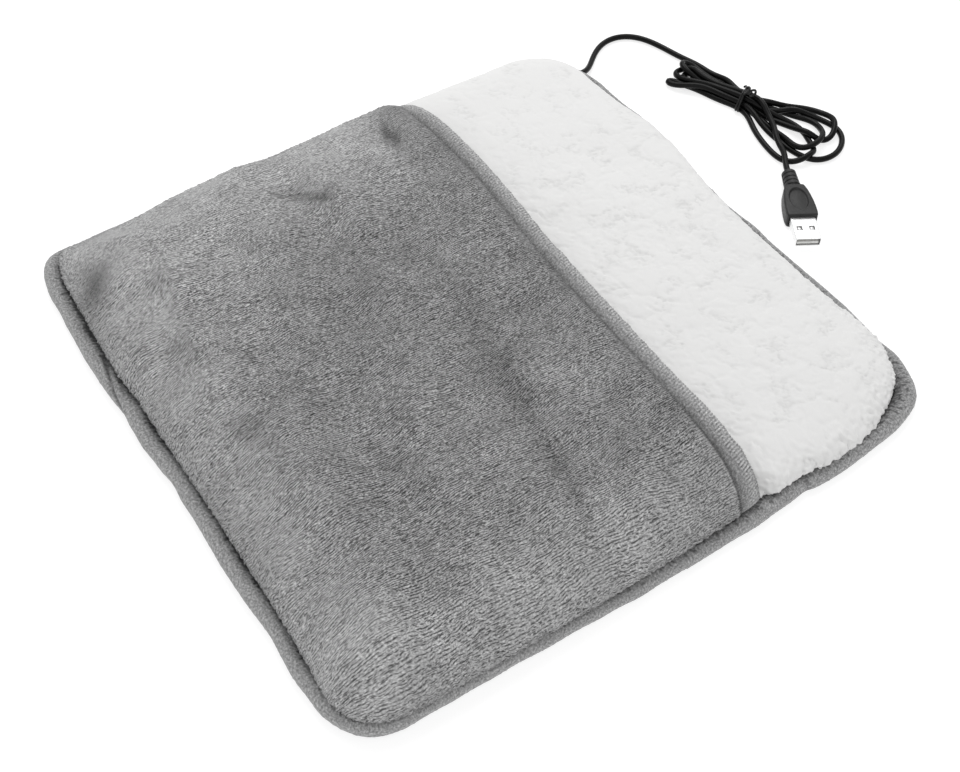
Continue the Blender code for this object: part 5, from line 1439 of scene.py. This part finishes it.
binding = tube_grid("edge_tape", rings[:, ::-1], tape.m, closed_path=True)
put(binding, "pile", (0.55 * soft(si, cr) * visible + painted_light_and_shade + 0.35 * fuzz(si, cr))[:, ::-1].ravel())
put(binding, "nap", np.stack([si, cr, 0 * si], axis=-1)[:, ::-1].reshape(-1, 3) * MM)
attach(binding, "base")
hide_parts("edge_binding")

# ================================================================ the pocket's pieces: their transforms baked in, and the model's pocket parts hidden
for tag, sx in (("right", 1), ("left", -1)):
    for key, nodes in (("_piece", "pocket_cover"), ("_hem", "mouth_binding"), ("_lining", "pocket_fleece"), ("_fill", "pocket_batting")):
        ob = halves[tag + key]
        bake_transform(ob)
        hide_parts(nodes)

# ================================================================ inner pieces that stay as they are, with their own finishes
def cloth_weave(name, colour, scale):
    k = Look(name, colour, 0.85, Specular_IOR_Level=0.2)
    c = object_coords(k)
    w = k.noise(k.stretch(c, (scale, scale * 0.25, scale)), 1.0, 2)
    w2 = k.noise(k.stretch(c, (scale * 0.25, scale, scale)), 1.0, 2)
    v = k.math("ADD", w, w2)
    ramp = k.new("MixRGB", blend_type="MIX", Fac=k.range(v, 0.7, 1.3, 0, 1), Color1=tuple(c_ * 0.82 for c_ in colour) + (1,), Color2=(*colour, 1))
    k.link(ramp.outputs[0], "Base Color")
    k.link(k.bump(v, 0.0001, 0.5), "Normal")
    return k.m


def plain_look(name, colour, rough, metal=0.0, scale=700):
    k = Look(name, colour, rough, Metallic=metal)
    c = object_coords(k)
    ramp = k.new("MixRGB", blend_type="MIX", Fac=k.range(k.noise(c, scale, 3), 0.3, 0.7, 0, 1), Color1=tuple(c_ * 0.85 for c_ in colour) + (1,), Color2=(*colour, 1))
    k.link(ramp.outputs[0], "Base Color")
    k.link(k.range(k.noise(c, scale * 2, 2), 0.3, 0.7, rough * 0.85, min(1.0, rough * 1.2)), "Roughness")
    k.link(k.bump(k.noise(c, scale * 3, 2), 0.00003, 0.3), "Normal")
    return k.m


element_cloth = cloth_weave("element_cloth", (0.80, 0.78, 0.72), 2600)
red_vinyl = plain_look("core_red", (0.55, 0.03, 0.02), 0.42)
black_vinyl = plain_look("core_black", (0.016, 0.016, 0.017), 0.42)
finishes = {
    "base_batting_lower": wadding.m, "base_batting_upper": wadding.m,
    "heater_carrier_lower": element_cloth, "heater_carrier_upper": element_cloth,
    "heating_wire": plain_look("heating_wire_sheath", (0.45, 0.05, 0.04), 0.5),
    "lead_positive": red_vinyl, "lead_negative": black_vinyl, "cord_anchor": black_vinyl,
    "thermal_cutout": plain_look("cutout_case", (0.60, 0.58, 0.52), 0.45),
    "splice_element": plain_look("sleeving", (0.03, 0.03, 0.03), 0.55), "splice_positive": plain_look("sleeving_b", (0.03, 0.03, 0.03), 0.55),
    "splice_negative": plain_look("sleeving_c", (0.03, 0.03, 0.03), 0.55),
    "usb_insulator": plain_look("insulator_white", (0.78, 0.78, 0.76), 0.4),
}
gold = plain_look("contact_gold", (0.80, 0.58, 0.25), 0.25, 1.0)
for k in range(1, 5):
    finishes["usb_contact_%d" % k] = gold
for node, mat in finishes.items():
    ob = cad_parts[node]
    ob.data.materials.clear()
    ob.data.materials.append(mat)
